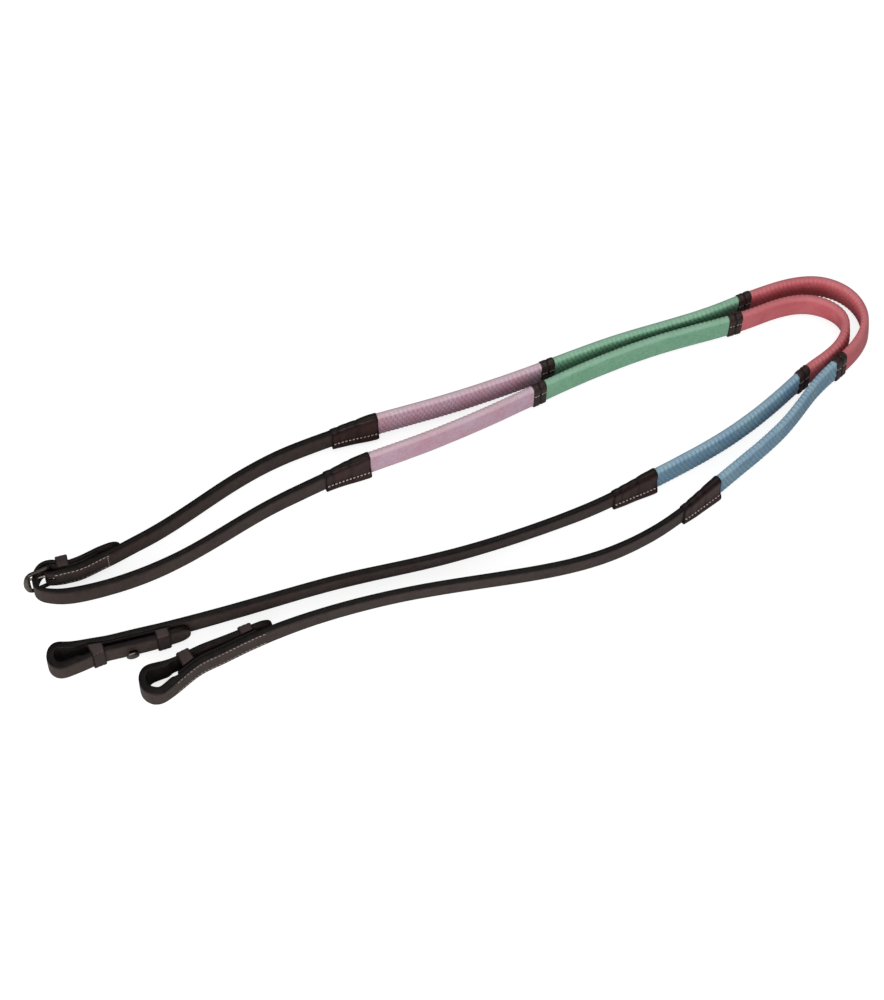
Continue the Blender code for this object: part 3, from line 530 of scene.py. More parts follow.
class Graph:
    """Small helper for building node materials.  Underscores in input names stand for spaces."""

    def __init__(self, name):
        self.material = bpy.data.materials.new(name)
        self.material.use_nodes = True
        self.tree = self.material.node_tree
        self.place = self.node("ShaderNodeTexCoord").outputs["Object"]

    def put(self, value, socket):
        if isinstance(value, bpy.types.NodeSocket):
            self.tree.links.new(value, socket)
        else:
            socket.default_value = value

    def node(self, kind, **inputs):
        made = self.tree.nodes.new(kind)
        for key, value in inputs.items():
            self.put(value, made.inputs[key.replace("_", " ")])
        return made

    def noise(self, scale, detail, rough, stretch=(1, 1, 1), seed=0.0):
        place = self.place
        if seed:
            mapping = self.node(
                "ShaderNodeMapping", Vector=place, Scale=stretch,
                Location=(seed, seed * 0.7, seed * 1.3),
            )
            place = mapping.outputs["Vector"]
        return self.node(
            "ShaderNodeTexNoise", Vector=place, Scale=scale, Detail=detail, Roughness=rough
        ).outputs["Fac"]

    def cells(self, scale):
        made = self.node("ShaderNodeTexVoronoi", Vector=self.place, Scale=scale)
        made.feature = "SMOOTH_F1"
        return made.outputs["Distance"]

    def span(self, value, between, to=(0.0, 1.0)):
        return self.node(
            "ShaderNodeMapRange", Value=value,
            From_Min=between[0], From_Max=between[1], To_Min=to[0], To_Max=to[1],
        ).outputs["Result"]

    def mix(self, share, *colours):
        """Mix two colours, each a socket or a 0-255 triple."""
        made = self.tree.nodes.new("ShaderNodeMix")
        made.data_type = "RGBA"
        self.put(share, made.inputs[0])
        for index, colour in zip((6, 7), colours):
            self.put(linear(colour) if isinstance(colour, tuple) else colour, made.inputs[index])
        return made.outputs[2]

    def attribute(self, name):
        made = self.node("ShaderNodeAttribute")
        made.attribute_name = name
        return made.outputs["Fac"]

    def calc(self, operation, *values):
        made = self.node("ShaderNodeMath")
        made.operation = operation
        for value, socket in zip(values, made.inputs):
            self.put(value, socket)
        return made.outputs[0]

    def bump(self, height, distance, strength, **below):
        """Bump in metres, over another one passed as Normal."""
        return self.node(
            "ShaderNodeBump", Height=height, Distance=distance, Strength=strength, **below
        ).outputs["Normal"]

    def finish(self, **inputs):
        shader = self.tree.nodes["Principled BSDF"]
        for key, value in inputs.items():
            self.put(value, shader.inputs[key.replace("_", " ")])
        return self.material


def leather(name, face, dark, warm, rough, coat):
    graph = Graph(name)
    big = graph.noise(scale=55.0, detail=5.0, rough=0.6)
    mid = graph.noise(scale=260.0, detail=4.0, rough=0.6, seed=3.0)
    fine = graph.noise(scale=1500.0, detail=3.0, rough=0.6, seed=7.0)
    tone = graph.attribute("tone")
    body = graph.mix(graph.span(big, between=(0.35, 0.68)), face, warm)
    body = graph.mix(graph.span(mid, between=(0.45, 0.75), to=(0.0, 0.45)), body, dark)
    # tone darkens towards the dark colour: dyed edges and other darker places, and painted shade on
    # the inner faces of the bit loops
    worn = graph.calc("MULTIPLY", graph.span(mid, between=(0.3, 0.7), to=(0.85, 1.0)), tone)
    grain = graph.bump(graph.cells(scale=1150.0), distance=0.00012, strength=0.55)
    grain = graph.bump(fine, distance=0.00012 * 0.8, strength=0.5, Normal=grain)
    # toned places are a little rougher and shine less
    return graph.finish(
        Base_Color=graph.mix(worn, body, dark),
        Roughness=graph.calc(
            "ADD",
            graph.span(fine, between=(0.3, 0.7), to=rough),
            graph.calc("MULTIPLY", tone, 0.06),
        ),
        Coat_Weight=coat,
        Coat_Roughness=0.28,
        Specular_IOR_Level=graph.calc("ADD", 0.28, graph.calc("MULTIPLY", tone, -0.2)),
        Normal=graph.bump(mid, distance=0.00035, strength=0.35, Normal=grain),
    )


def rubber(name, light, deep, dull, top_highlight):
    graph = Graph(name)
    big = graph.noise(scale=70.0, detail=5.0, rough=0.6)
    mid = graph.noise(scale=420.0, detail=4.0, rough=0.65, seed=2.0)
    fine = graph.noise(scale=2400.0, detail=2.0, rough=0.5, seed=5.0)
    body = graph.mix(graph.span(big, between=(0.38, 0.62), to=(0.0, 0.9)), light, dull)
    body = graph.mix(graph.span(mid, between=(0.42, 0.72), to=(0.0, 0.35)), body, deep)
    # painted shade: toned points, the hollows between the pads, darken to the deep colour
    body = graph.mix(graph.attribute("tone"), body, deep)
    grain = graph.bump(fine, distance=0.00006, strength=0.5)
    # painted highlight: marked points, the grip's top edge, pale towards the highlight colour
    return graph.finish(
        Base_Color=graph.mix(graph.attribute("painted_highlight"), body, top_highlight),
        Roughness=graph.span(mid, between=(0.3, 0.7), to=(0.5, 0.72)),
        Specular_IOR_Level=0.4,
        Sheen_Weight=0.08,
        Normal=graph.bump(mid, distance=0.00018, strength=0.4, Normal=grain),
    )


def metal(name, base, dark, rough):
    graph = Graph(name)
    mottle = graph.noise(scale=320.0, detail=5.0, rough=0.65)
    scratches = graph.noise(scale=900.0, detail=3.0, rough=0.6, stretch=(1.0, 1.0, 0.06), seed=1.0)
    body = graph.mix(graph.span(mottle, between=(0.4, 0.75), to=(0.0, 0.7)), base, dark)
    # painted reflection: toned points darken to a fixed dark grey
    return graph.finish(
        Base_Color=graph.mix(graph.attribute("tone"), body, (58, 52, 48)),
        Metallic=1.0,
        Roughness=graph.span(mottle, between=(0.3, 0.7), to=rough),
        Normal=graph.bump(scratches, distance=0.00004, strength=0.4),
    )


def cloth(name, light, dark):
    graph = Graph(name)
    fibres = graph.noise(scale=2600.0, detail=3.0, rough=0.6)
    return graph.finish(
        Base_Color=graph.mix(graph.span(fibres, between=(0.3, 0.7)), light, dark),
        Roughness=0.8,
        Sheen_Weight=0.25,
        Normal=graph.bump(fibres, distance=0.0001, strength=0.6),
    )


STRAP = leather(
    "strap_leather", face=(67, 55, 50), dark=(11, 9, 9), warm=(59, 46, 42),
    rough=(0.36, 0.52), coat=0.05,
)
SLEEVE = leather(
    "sleeve_leather", face=(49, 30, 30), dark=(12, 8, 8), warm=(64, 40, 32),
    rough=(0.3, 0.44), coat=0.1,
)
BAND = leather(
    "band_leather", face=(46, 31, 30), dark=(12, 8, 9), warm=(57, 38, 34),
    rough=(0.32, 0.46), coat=0.08,
)
KEEPER = leather(
    "keeper_leather", face=(52, 40, 38), dark=(12, 9, 9), warm=(58, 44, 40),
    rough=(0.34, 0.5), coat=0.06,
)
THREAD = cloth("thread", light=(206, 192, 184), dark=(160, 146, 138))
NICKEL = metal("nickel", base=(168, 158, 148), dark=(104, 94, 86), rough=(0.22, 0.38))
STUD = metal("stud_metal", base=(126, 118, 112), dark=(62, 56, 52), rough=(0.2, 0.36))
# light, deep, dull and painted top-highlight colours; deep also paints the shade between the pads
RUBBER_COLOURS = {
    "lilac": ((208, 176, 194), (152, 112, 127), (206, 158, 172), (198, 188, 188)),
    "green": ((136, 186, 155), (56, 124, 89), (125, 178, 146), (154, 182, 164)),
    "red": ((214, 116, 122), (206, 92, 100), (204, 98, 106), (178, 116, 118)),
    "blue": ((136, 170, 184), (80, 122, 156), (116, 152, 180), (156, 180, 194)),
}
RUBBER = {key: rubber(f"{key}_rubber", *colours) for key, colours in RUBBER_COLOURS.items()}

# ---------------------------------------------------------------- stitches
# half-length share along a stitch, share of its full thickness
STITCH_PROFILE = [(-0.5, 0.25), (-0.42, 0.75), (-0.2, 1.0), (0.2, 1.0), (0.42, 0.75), (0.5, 0.25)]


def stitches(name, rein, body, spots, length, thick):
    """Thread stitches on a surface; spots are (arc length, side, up, slant in degrees)."""
    middles, sides, ups = rein.frames([spot[0] for spot in spots])
    skins = []
    for i, (_, off, height, slant) in enumerate(spots):
        side, up = sides[i], ups[i]
        outward = 1.0 if off >= 0 else -1.0
        angle = math.radians(slant + 5 * math.sin(i * 2.4))
        run = -np.cross(up, side) * math.cos(angle) + up * math.sin(angle)
        across = np.cross(side, run)
        middle = middles[i] + side * (off + 0.02 * outward * math.sin(i * 5.1)) + up * height
        skins.append(skin([
            oval(
                middle + run * share * length,
                across, size * thick * 0.8, side * outward, size * thick * 0.62, 6,
            )
            for share, size in STITCH_PROFILE
        ]))
    on_body(make(name, skins, THREAD, sharp=80), body)


def stitch_row(start, end, side, up):
    count = int((end - start) / STITCH_PITCH)
    return [(at, side, up, STITCH_SLANT) for at in np.linspace(start, end, count + 1)]


# ---------------------------------------------------------------- rein straps
def strap_section():
    """A cut strap's ring of side, up and tone: rounded burnished edges, a pressed crease line near
    each and slightly full faces."""
    half_t, half_w = STRAP_T / 2, STRAP_W / 2
    radius, crease_in, groove, fullness = 0.9, 1.7, 0.2, 0.1
    crease = half_w - crease_in
    upper = [crease - 1.8, crease - 0.45, crease, crease + 0.45]
    up = np.array([-value for value in upper[::-1]] + [0.0] + upper)
    off = fullness * (1 - (up / half_w) ** 2)
    off[[1, 7]] -= groove
    side_x, edge_y = half_t - radius, half_w - radius
    ring = np.vstack([
        corner(-side_x, -edge_y, radius, 180, 270, 4),
        corner(side_x, -edge_y, radius, 270, 360, 4),
        np.stack([half_t + off, up], 1),
        corner(side_x, edge_y, radius, 0, 90, 4),
        corner(-side_x, edge_y, radius, 90, 180, 4),
        np.stack([-half_t - off[::-1], up[::-1]], 1),
    ])
    edge = [0.55, 1, 1, 1, 1, 1, 1, 0.55]
    face = [0.1, 0.6, 0.05, 0, 0, 0, 0.05, 0.6, 0.1]
    return ring[:, 0], ring[:, 1], np.array((edge + face) * 2)


STRAP_SIDES, STRAP_UPS, STRAP_TONE = strap_section()


def strap_piece(name, rein, start, end, seed):
    stations = rein.stations(start, end)
    sides = np.outer(1 + wave(stations, seed + 2, 0.03), STRAP_SIDES)
    ups = np.outer(1 + wave(stations, seed, 0.008), STRAP_UPS)
    return loft(name, rein, stations, sides, ups, STRAP, STRAP_TONE)


def tip_width(width, from_tip, length):
    """Strap width narrowing to a rounded end over the last `length` mm."""
    share = np.clip(from_tip / length, 0, 1)
    return TIP_W + (width - TIP_W) * np.sqrt(1 - (1 - share) ** 2)


# ---------------------------------------------------------------- grips
# pad depth on the left and right face of each grip; 0 leaves the face plain
PAD_DEPTHS = {
    1: {"lilac": (0.0, 0.5), "green": (0.0, 0.52), "red": (0.0, 0.52), "blue": (0.45, 0.6)},
    2: {"lilac": (0.5, 0.0), "green": (0.5, 0.0), "red": (0.5, 0.0), "blue": (0.6, 0.0)},
}
PAD_RAMP = 0.22  # share of the pitch over which a pad rises
FACE_COUNT = 21  # points across a grip's face
TOP_EDGE = 8 + FACE_COUNT  # ring: 8 bottom edge, left face, 8 top edge, right face


def swell(phase, ramp):
    """Rise and fall once per unit of phase."""
    return ease(0.5 - np.abs(phase % 1.0 - 0.5), 0, ramp)


def pad_shape(along, across):
    """Pad height, 0 to 1, at lengths along the grip and shares (0 bottom, 1 top) across it."""
    row = across * PAD_ROWS
    stagger = 0.5 * (np.floor(np.minimum(row, PAD_ROWS - 0.01)) % 2)
    return swell(along / PAD_PITCH + stagger, PAD_RAMP) * (0.45 + 0.55 * swell(row, 0.16))


def grip_piece(name, rein, start, end, origin, colour, seed):
    """Rubber grip from start to end, its pads counted from origin."""
    first = math.floor((start - origin) / GRIP_STEP) + 1
    inner = np.arange(first, math.ceil((end - origin) / GRIP_STEP)) * GRIP_STEP + origin
    inner = inner[(inner > start + 0.05) & (inner < end - 0.05)]
    stations = np.concatenate([[start], inner, [end]])
    half_w, half_t, radius = GRIP_W / 2, GRIP_T / 2, GRIP_EDGE_R
    across = np.linspace(0.0, 1.0, FACE_COUNT)
    up = -half_w + radius * 0.9 + across * (2 * half_w - 1.8 * radius)
    full = 0.32 * (1 - (up / half_w) ** 2)
    side_x, edge_y = half_t - radius, half_w - radius
    ring = np.vstack([
        corner(-side_x, -edge_y, radius, 190, 270, 4),
        corner(side_x, -edge_y, radius, 270, 350, 4),
        np.stack([half_t + full, up], 1),
        corner(side_x, edge_y, radius, 10, 90, 4),
        corner(-side_x, edge_y, radius, 90, 170, 4),
        np.stack([-half_t - full[::-1], up[::-1]], 1),
    ])
    sides = np.repeat(ring[None, :, 0], len(stations), 0)
    ups = np.repeat(ring[None, :, 1], len(stations), 0)
    tone = np.zeros_like(sides)
    # painted highlight: the top edge is paled, standing in for the light falling on it
    painted_highlight = np.zeros_like(sides)
    painted_highlight[:, TOP_EDGE:TOP_EDGE + 8] = 0.38
    painted_highlight[:, [TOP_EDGE, TOP_EDGE + 7]] = 0.15
    along = stations - origin
    left_depth, right_depth = PAD_DEPTHS[rein.number][colour]
    top = TOP_EDGE
    # depth, sign, first point of the face, points of the edge quarters next to it
    for depth, sign, face, quarters in (
        (left_depth, 1.0, 8, [*range(4, 8), *range(top, top + 4)]),
        (right_depth, -1.0, top + 8, [*range(top + 4, top + 8), *range(4)]),
    ):
        if depth <= 0:
            continue
        pads = pad_shape(along[:, None], across[None, ::int(sign)])
        columns = slice(face, face + FACE_COUNT)
        sides[:, columns] += sign * depth * (pads - 1.0)
        # painted shade: the hollows between the pads are darkened
        tone[:, columns] = np.clip(1.0 - pads * 1.2, 0, 1) * 0.62
        # the ribs run out over the neighbouring edges
        cut = (depth * (1 - swell(along / PAD_PITCH, PAD_RAMP)))[:, None]
        ups[:, quarters] -= cut * 0.9 * ups[:, quarters] / half_w
        sides[:, quarters] -= sign * cut * 0.5 * np.abs(sides[:, quarters]) / half_t
    sides += wave(stations, seed, 0.10)[:, None]
    ups *= (1 + wave(stations, seed + 1, 0.006))[:, None]
    return loft(name, rein, stations, sides, ups, RUBBER[colour], tone, painted_highlight, sharp=55.0)


def grip(rein, index):
    """One coloured grip; all but the first have their first part made as a separate, unattached
    piece.
    """
    number, colour = rein.number, COLOURS[index]
    name, body, slot = f"rein{number}_grip_{colour}", f"rein{number}_{colour}_run", f"{colour}_rubber"
    origin, visible_end = rein.grips[index]
    seed = number * 4 + index
    start = origin - (GRIP_UNDER_SLEEVE if index == 0 else GRIP_UNDER_DIVIDER)
    end = visible_end + (GRIP_UNDER_SLEEVE if index == 3 else GRIP_UNDER_DIVIDER)
    if index > 0:
        cut = origin + GRIP_FLEX_LEN
        flex = grip_piece(f"{name}_flex_rubber", rein, start, cut, origin, colour, seed)
        before = f"rein{number}_{COLOURS[index - 1]}_run"
        bends(flex, before, body, rein, origin - 1.0, cut, slot)
        start = cut
    piece = grip_piece(f"{name}_rubber", rein, start, end, origin, colour, seed)
    on_body(piece, body, name, f"rein{number}_core_{'abcd'[index]}", slot=slot)


# ---------------------------------------------------------------- sleeves and dividers
def sleeve_ring(top, bottom, half, out):
    """Leather folded over the top of the rein, its lower edge standing out on the + side as a
    flange.  Anticlockwise from the bottom; half is the half thickness, out the flange's reach."""
    fold = [
        (half, top * 0.2), (half, top * 0.5), (half * 0.99, top - 4.2), (half * 0.96, top - 3.0),
        (half * 0.88, top - 1.9), (half * 0.72, top - 1.0), (half * 0.5, top - 0.4),
        (half * 0.26, top - 0.08),
    ]
    lip = half + out
    flange = [
        (-half * 0.25, 0.75), (half * 0.3, 0.4), (lip - 2.1, 0.1), (lip - 1.5, 0.0),
        (lip - 0.6, 0.1), (lip - 0.12, 0.5), (lip, 1.1), (lip - 0.08, 2.0),
        (half + out * 0.84, 3.4), (half + out * 0.62, 4.6), (half + out * 0.44 - 0.16, 5.5),
        (half + out * 0.36, 6.3), (half + out * 0.2, 7.6), (half + out * 0.06, 9.0),
    ]
    lower = [(-half, 4.6), (-half * 0.98, 3.2), (-half * 0.9, 2.2), (-half * 0.72, 1.4)]
    return (
        [(x, y - bottom) for x, y in flange] + fold + [(0.0, top)]
        + [(-x, y) for x, y in fold[::-1]] + [(-half, -bottom * 0.3)]
        + [(x, y - bottom) for x, y in lower]
    )


SLEEVE_TONE = np.array(
    [0.9, 0.9, 0.95, 1.0, 1.0, 0.9, 0.55, 0.25, 0.2, 0.3, 0.85, 0.4, 0.1, 0.0]
    + [0, 0, 0, 0.1, 0.4, 0.75, 0.85, 0.85, 0.85, 0.85, 0.85, 0.75, 0.4, 0.1, 0, 0, 0]
    + [0, 0, 0.2, 0.4, 0.7]
)


def sleeve_size(share):
    """Half height, half thickness and flange reach, from the narrow end (0) to the wide (1)."""
    grown = ease(share, 0, 1) * 0.5 + share * 0.5
    height, half = SLEEVE_NARROW + (SLEEVE_WIDE - SLEEVE_NARROW) * grown
    return height, half, SLEEVE_SPLAY * (0.35 + 0.65 * share)


def sleeve(rein, end, body, narrow, wide, seed):
    start, stop = min(narrow, wide), max(narrow, wide)
    sewn = -1.0 if narrow < wide else 1.0  # side of the flange
    stations = np.linspace(start, stop, 44)
    shares = np.clip((stations - narrow) / (wide - narrow), 0, 1)
    rings = []
    for at, share in zip(stations, shares):
        height, half, out = sleeve_size(share)
        top = height + 0.12 * math.sin(at / 2.7 + seed)
        half += 0.10 * math.sin(at / 3.9 + seed * 2) + 0.22 * hump(share, 0.72, 0.16)
        out += 0.12 * math.sin(at / 5.1 + seed * 3)
        # the flange is trimmed round at the wide mouth
        bottom = height - 0.9 * max(0.0, (share - 0.93) / 0.07) ** 2
        rings.append(sleeve_ring(top, bottom, half, out))
    rings = np.array(rings)
    # two creases along the sleeve, and one marking off a collar at the narrow mouth
    dip = 0.30 * hump(shares, 0.56, 0.045) + 0.16 * hump(shares, 0.36, 0.04)
    dip += 0.34 * hump(shares, 0.16, 0.035)
    rings[:, 11:, 0] -= np.sign(rings[:, 11:, 0]) * dip[:, None]
    sides, ups = sewn * rings[..., 0], rings[..., 1]
    # darker along the creases and towards both mouths
    crease_and_mouth_darkening = dip + 0.8 * hump(shares, 0, 0.035) + 0.8 * hump(shares, 1, 0.03)
    tone = np.clip(SLEEVE_TONE + crease_and_mouth_darkening[:, None], 0, 1)
    if sewn < 0:
        sides, ups, tone = sides[:, ::-1], ups[:, ::-1], tone[:, ::-1]
    # turn in at both mouths so the cut thickness of the leather shows
    lips = [(SLEEVE_WALL + 0.15, 2.5), (SLEEVE_WALL, 0.02), (0.25, 0.0)]
    swept = with_lips(stations, sides, ups, tone, lips, lip_tone=0.95, setback=0.28)
    node = f"rein{rein.number}_{end}_sleeve"
    name = f"{node}_leather"
    piece = loft(name, rein, *swept[:3], SLEEVE, swept[3], painted_highlight=None, sharp=50.0)
    on_body(piece, body, node)
    # one row of stitches just above the flange
    spots = []
    for at in np.linspace(start + 2.0, stop - 2.0, 12):
        height, half, out = sleeve_size((at - narrow) / (wide - narrow))
        spots.append((at, sewn * (half + out * 0.44 - 0.02), -height + 5.5, STITCH_SLANT))
    stitches(f"{name}_stitches", rein, body, spots, length=1.6, thick=0.7)


# tone up one half of a divider's outline, from the bottom to the top
DIVIDER_TONE = [0.8, 0.8, 0.7, 0.4, 0.1, 0, 0, 0.2, 0.8, 0.2, 0, 0, 0, 0, 0, 0.1, 0.1, 0.1]


def divider_half(swelled):
    """The + half of a divider's outline, bottom to top, with a groove where it is stitched."""
    half, top, bottom = 3.45 + swelled, 11.2 + swelled, -11.1 - swelled
    return [
        (0, bottom), (half * 0.5, bottom), (half * 0.82, bottom + 0.3), (half * 0.98, -9.9),
        (half, -8.6), (half, -5), (half, -2), (half - 0.06, 1.2), (half - 0.3, 2.0),
        (half - 0.06, 2.8), (half, 5.0), (half, top - 4.0), (half * 0.97, top - 2.8),
        (half * 0.88, top - 1.7), (half * 0.72, top - 0.9), (half * 0.5, top - 0.35),
        (half * 0.25, top - 0.08), (0.0, top),
    ]


def divider(rein, index):
    """Leather band between two grips."""
    start = rein.grips[index][1]
    end = start + DIVIDER_LEN
    stations = np.concatenate([[start], np.linspace(start + 0.3, end - 0.3, 19), [end]])
    shares = (stations - start) / (end - start)
    swelled = -0.42 * hump(shares, 0.52, 0.055) - 0.18 * hump(shares, 0.2, 0.05)
    swelled -= 0.35 * (hump(shares, 0, 0.03) + hump(shares, 1, 0.03))
    right = np.array([divider_half(value) for value in swelled])
    rings = np.concatenate([right, right[:, -2:0:-1] * (-1, 1)], 1)
    tone = np.array(DIVIDER_TONE + DIVIDER_TONE[-2:0:-1])
    tone = tone + 0.8 * hump(shares, 0.52, 0.07)[:, None]
    swept = with_lips(
        stations, rings[..., 0], rings[..., 1], tone, [(0.9, 1.5), (0.8, 0.0)], lip_tone=0.9
    )
    node = f"rein{rein.number}_divider_{index + 1}"
    body = f"rein{rein.number}_{COLOURS[index]}_run"
    name = f"{node}_leather"
    piece = loft(name, rein, *swept[:3], BAND, swept[3], painted_highlight=None, sharp=50.0)
    on_body(piece, body, node)
    spots = [
        (start + (end - start) * share, sign * 3.25, 2.0, STITCH_SLANT)
        for sign in (1, -1)
        for share in (0.14, 0.36, 0.68, 0.88)
    ]
    stitches(f"{name}_stitches", rein, body, spots, length=1.7, thick=0.36)


# ---------------------------------------------------------------- keepers
KEEPER_SHARES = np.concatenate([[-0.5], np.linspace(-0.46, 0.46, 13), [0.5]])
# wall thickness, wear of the two rims, ridge height, outer and inner corner radii, how far the
# face stands out near its corners and at its middle, and the face's tone
BIT_KEEPER = {
    "wall": KEEPER_T, "worn": 0.30, "ridge": 0.08, "radii": (1.3, 0.5),
    "bulge": (0.12, 0.18), "face_tone": 0.1,
}
CENTRE_KEEPER = {
    "wall": CENTRE_KEEPER_T + 0.1, "worn": 0.26, "ridge": 0.07, "radii": (1.2, 0.4),
    "bulge": (0.1, 0.14), "face_tone": 0.08,
}


def keeper_ring(foot, reach, half, radius, bulge=(0.0, 0.0)):
    """One side of a keeper's wall, from its lower foot round to its upper one."""
    return np.vstack([
        [[foot, -half]], corner(reach - radius, -half + radius, radius, 270, 360, 6),
        [[reach + bulge[0], -half * 0.45]], [[reach + bulge[1], 0]],
        [[reach + bulge[0], half * 0.45]],
        corner(reach - radius, half - radius, radius, 0, 90, 6), [[foot, half]],
    ])


def keeper(name, rein, middle, length, foot, reach, half, sign, style):
    """A band open on one side; foot(arc length) is the side offset of its two ends."""
    stations = middle + length * KEEPER_SHARES
    rings, tones = [], []
    for at, share in zip(stations, KEEPER_SHARES):
        out = abs(share) * 2
        ridge = style["ridge"] * math.cos(share * math.pi * 6) * (1 - out**4)
        wall = style["wall"] - style["worn"] * out**10 + ridge
        outer_radius, inner_radius = style["radii"]
        end = foot(at)
        outer = keeper_ring(end, reach + wall, half + wall, outer_radius, style["bulge"])
        inner = keeper_ring(end, reach, half, inner_radius)[::-1]
        rings.append(np.vstack([outer, inner]))
        face_tone = 0.9 if abs(share) > 0.44 else style["face_tone"]
        tones.append([face_tone] * len(outer) + [1.0] * len(inner))
    rings = np.array(rings)
    return loft(name, rein, stations, sign * rings[..., 0], rings[..., 1], KEEPER, np.array(tones))


# ---------------------------------------------------------------- bit ends
# distance out, half length along the strap, half height, shift along the strap
STUD_FOOT = [
    (0.0, 3.0, 3.0, 0.0), (0.3, 3.3, 3.3, 0.0), (0.8, 3.2, 3.2, 0.0), (1.0, 1.8, 1.8, 0.0),
    (1.2, 1.45, 1.45, 0.0),
]
STUD_HEAD = [
    (1.2, 1.45, 1.45, 0.0), (1.6, 1.75, 1.6, 0.15), (1.9, 2.8, 2.3, 0.6), (2.2, 3.7, 3.0, 0.95),
    (2.5, 4.15, 3.4, 1.08), (2.8, 4.35, 3.55, 1.1), (3.2, 4.35, 3.55, 1.1), (3.5, 4.1, 3.3, 1.1),
    (3.8, 3.5, 2.75, 1.1), (3.98, 2.5, 1.95, 1.1), (4.07, 1.3, 1.0, 1.1), (4.1, 0.3, 0.3, 1.1),
]


def bit_billet(rein, body):
    """The strap beyond its flex piece: into the loop, round it, and back to the tail's tip."""
    number, side, end = rein.number, rein.side, rein.end
    stations = rein.stations(rein.bit_bend[1], end, step=2.0, degrees=4.0)
    tip = end - TIP_STEPS[::-1]
    stations = np.concatenate([stations[stations < end - 9.3], tip])
    into_tail = ease(stations, rein.loop_start, rein.loop_end)
    width = STRAP_W + (TAIL_W - STRAP_W) * into_tail
    width = tip_width(width, end - stations, length=9.0)
    thick = STRAP_T + (TAIL_T - STRAP_T) * into_tail
    thick = thick * (1 - 0.35 * np.clip((stations - end + 1.5) / 1.5, 0, 1))
    # the loop is doubled inside
    more = LOOP_LINED * rein.lined(stations)
    swell_sides = (thick + more) / STRAP_T * (1 + wave(stations, number * 3.1, 0.03))
    sides = np.outer(swell_sides, STRAP_SIDES) + (side * more / 2)[:, None]
    ups = np.outer(width / STRAP_W * (1 + wave(stations, number * 2.2, 0.008)), STRAP_UPS)
    # painted shade: the inner face round the loop is darkened, standing in for the shade inside it
    inner = np.clip(np.sign(STRAP_SIDES) * side, 0, 1)
    dark = np.clip((stations - rein.loop_start + 26) / 12, 0, 1)
    dark = dark * np.clip((rein.loop_end + 34 - stations) / 12, 0, 1)
    tone = np.clip(STRAP_TONE + np.outer(dark, inner) * 0.9, 0, 1)
    piece = loft(f"rein{number}_bit_loop_leather", rein, stations, sides, ups, STRAP, tone)
    # slot in the tail for the hook stud
    middle, across, _ = rein.frames(rein.on_tail(STUD_AT))
    carve(
        piece, f"cut_stud_slot_{number}", middle - UPWARD * STUD_DROP,
        through=level(across), reach=3.2, across=-left_of(across),
        half_across=2.9, half_up=2.1, count=24, powers=(0.6, 0.8),
    )
    on_body(piece, body, f"rein{number}_bit_billet")


def lining(rein, body):
    """Lining sewn to the strap on the side its tail lies, its ends rounded off."""
    number, radius, end_radius = rein.number, LINING_EDGE_R, LINING_END_R
    start, end = rein.on_run(LINING_TO), rein.on_run(LINING_FROM)
    side_x, edge_y = LINING_T / 2 - radius, LINING_W / 2 - radius
    ring = np.vstack([
        corner(-side_x, -edge_y, radius, 180, 270, 3), corner(side_x, -edge_y, radius, 270, 360, 3),
        corner(side_x, edge_y, radius, 0, 90, 3), corner(-side_x, edge_y, radius, 90, 180, 3),
    ])
    tone = np.where(np.abs(ring[:, 1]) > LINING_W / 2 - 0.7, 1.0, 0.25)
    stations = rein.stations(start, end, step=2.0)
    first, last = start + end_radius, end - end_radius
    inside = (stations > first) & (stations < last)
    stations = np.concatenate([[first], stations[inside], [last]])
    sides, ups, tones = (
        np.tile(row, (len(stations), 1)) for row in (ring[:, 0], ring[:, 1], tone)
    )
    lips = []
    for angle in (0, 30, 60):
        cos, sin = unit(angle)
        lips.append((end_radius * (1 - sin), -end_radius * cos))
    stations, sides, ups, tones = with_lips(
        stations, sides, ups, tones, lips, lip_tone=np.maximum(tone, 0.8)
    )
    shift = rein.side * (STRAP_T / 2 + 0.05 + LINING_T / 2)
    piece = loft(
        f"rein{number}_lining_leather", rein, stations, sides + shift, ups, BAND, tones
    )
    on_body(piece, body, f"rein{number}_stud_lining")
    off = -rein.side * (STRAP_T / 2 + 0.02)
    spots = [s for up in (5.6, -5.6) for s in stitch_row(start - 3.2, end + 4.0, off, up)]
    stitches(f"rein{number}_lining_stitches", rein, body, spots, length=1.9, thick=0.36)


def bit_keepers(rein, body):
    """Bands over the tail whose legs reach back to the lining."""
    number = rein.number
    strap_xy = rein.xy[(rein.arc > rein.bit_flex) & (rein.arc < rein.loop_start)]

    def foot(at):
        return STRAP_T / 2 + 0.1 + LINING_T + 0.05 - abs(rein.offset_to(at, strap_xy))

    for tag, back in (("near", KEEPER_NEAR), ("far", KEEPER_FAR)):
        piece = keeper(
            f"rein{number}_keeper_{tag}_leather", rein, rein.on_tail(back), KEEPER_LEN, foot,
            reach=TAIL_T / 2 + 0.3, half=TAIL_W / 2 + 0.35, sign=-rein.side, style=BIT_KEEPER,
        )
        on_body(piece, body, f"rein{number}_billet_keeper_{tag}")


def hook_stud(rein, body):
    """Turned neck through the tail's slot, and a head set off towards the bit."""
    number = rein.number
    middle, across, _ = rein.frames(rein.on_run(STUD_AT))
    across = across * rein.side
    tail_middle = rein.frames(rein.on_tail(STUD_AT))[0]
    base = middle - UPWARD * STUD_DROP
    along = left_of(across) / np.linalg.norm(across[:2])
    if along[:2] @ rein.heading < 0:
        along = -along
    outward = level(across) / np.linalg.norm(across[:2])
    foot = STRAP_T / 2 + LINING_T + 0.15
    face = float((tail_middle - middle) @ across) + TAIL_T / 2
    rings = [
        oval(base + outward * (start + out) + along * shift, along, length, UPWARD, height, 32)
        for start, table in ((foot, STUD_FOOT), (face, STUD_HEAD))
        for out, length, height, shift in table
    ]
    piece = make(f"rein{number}_hook_stud_metal", [skin(rings)], STUD, sharp=60)
    on_body(piece, body, f"rein{number}_hook_stud", slot="stud_steel")


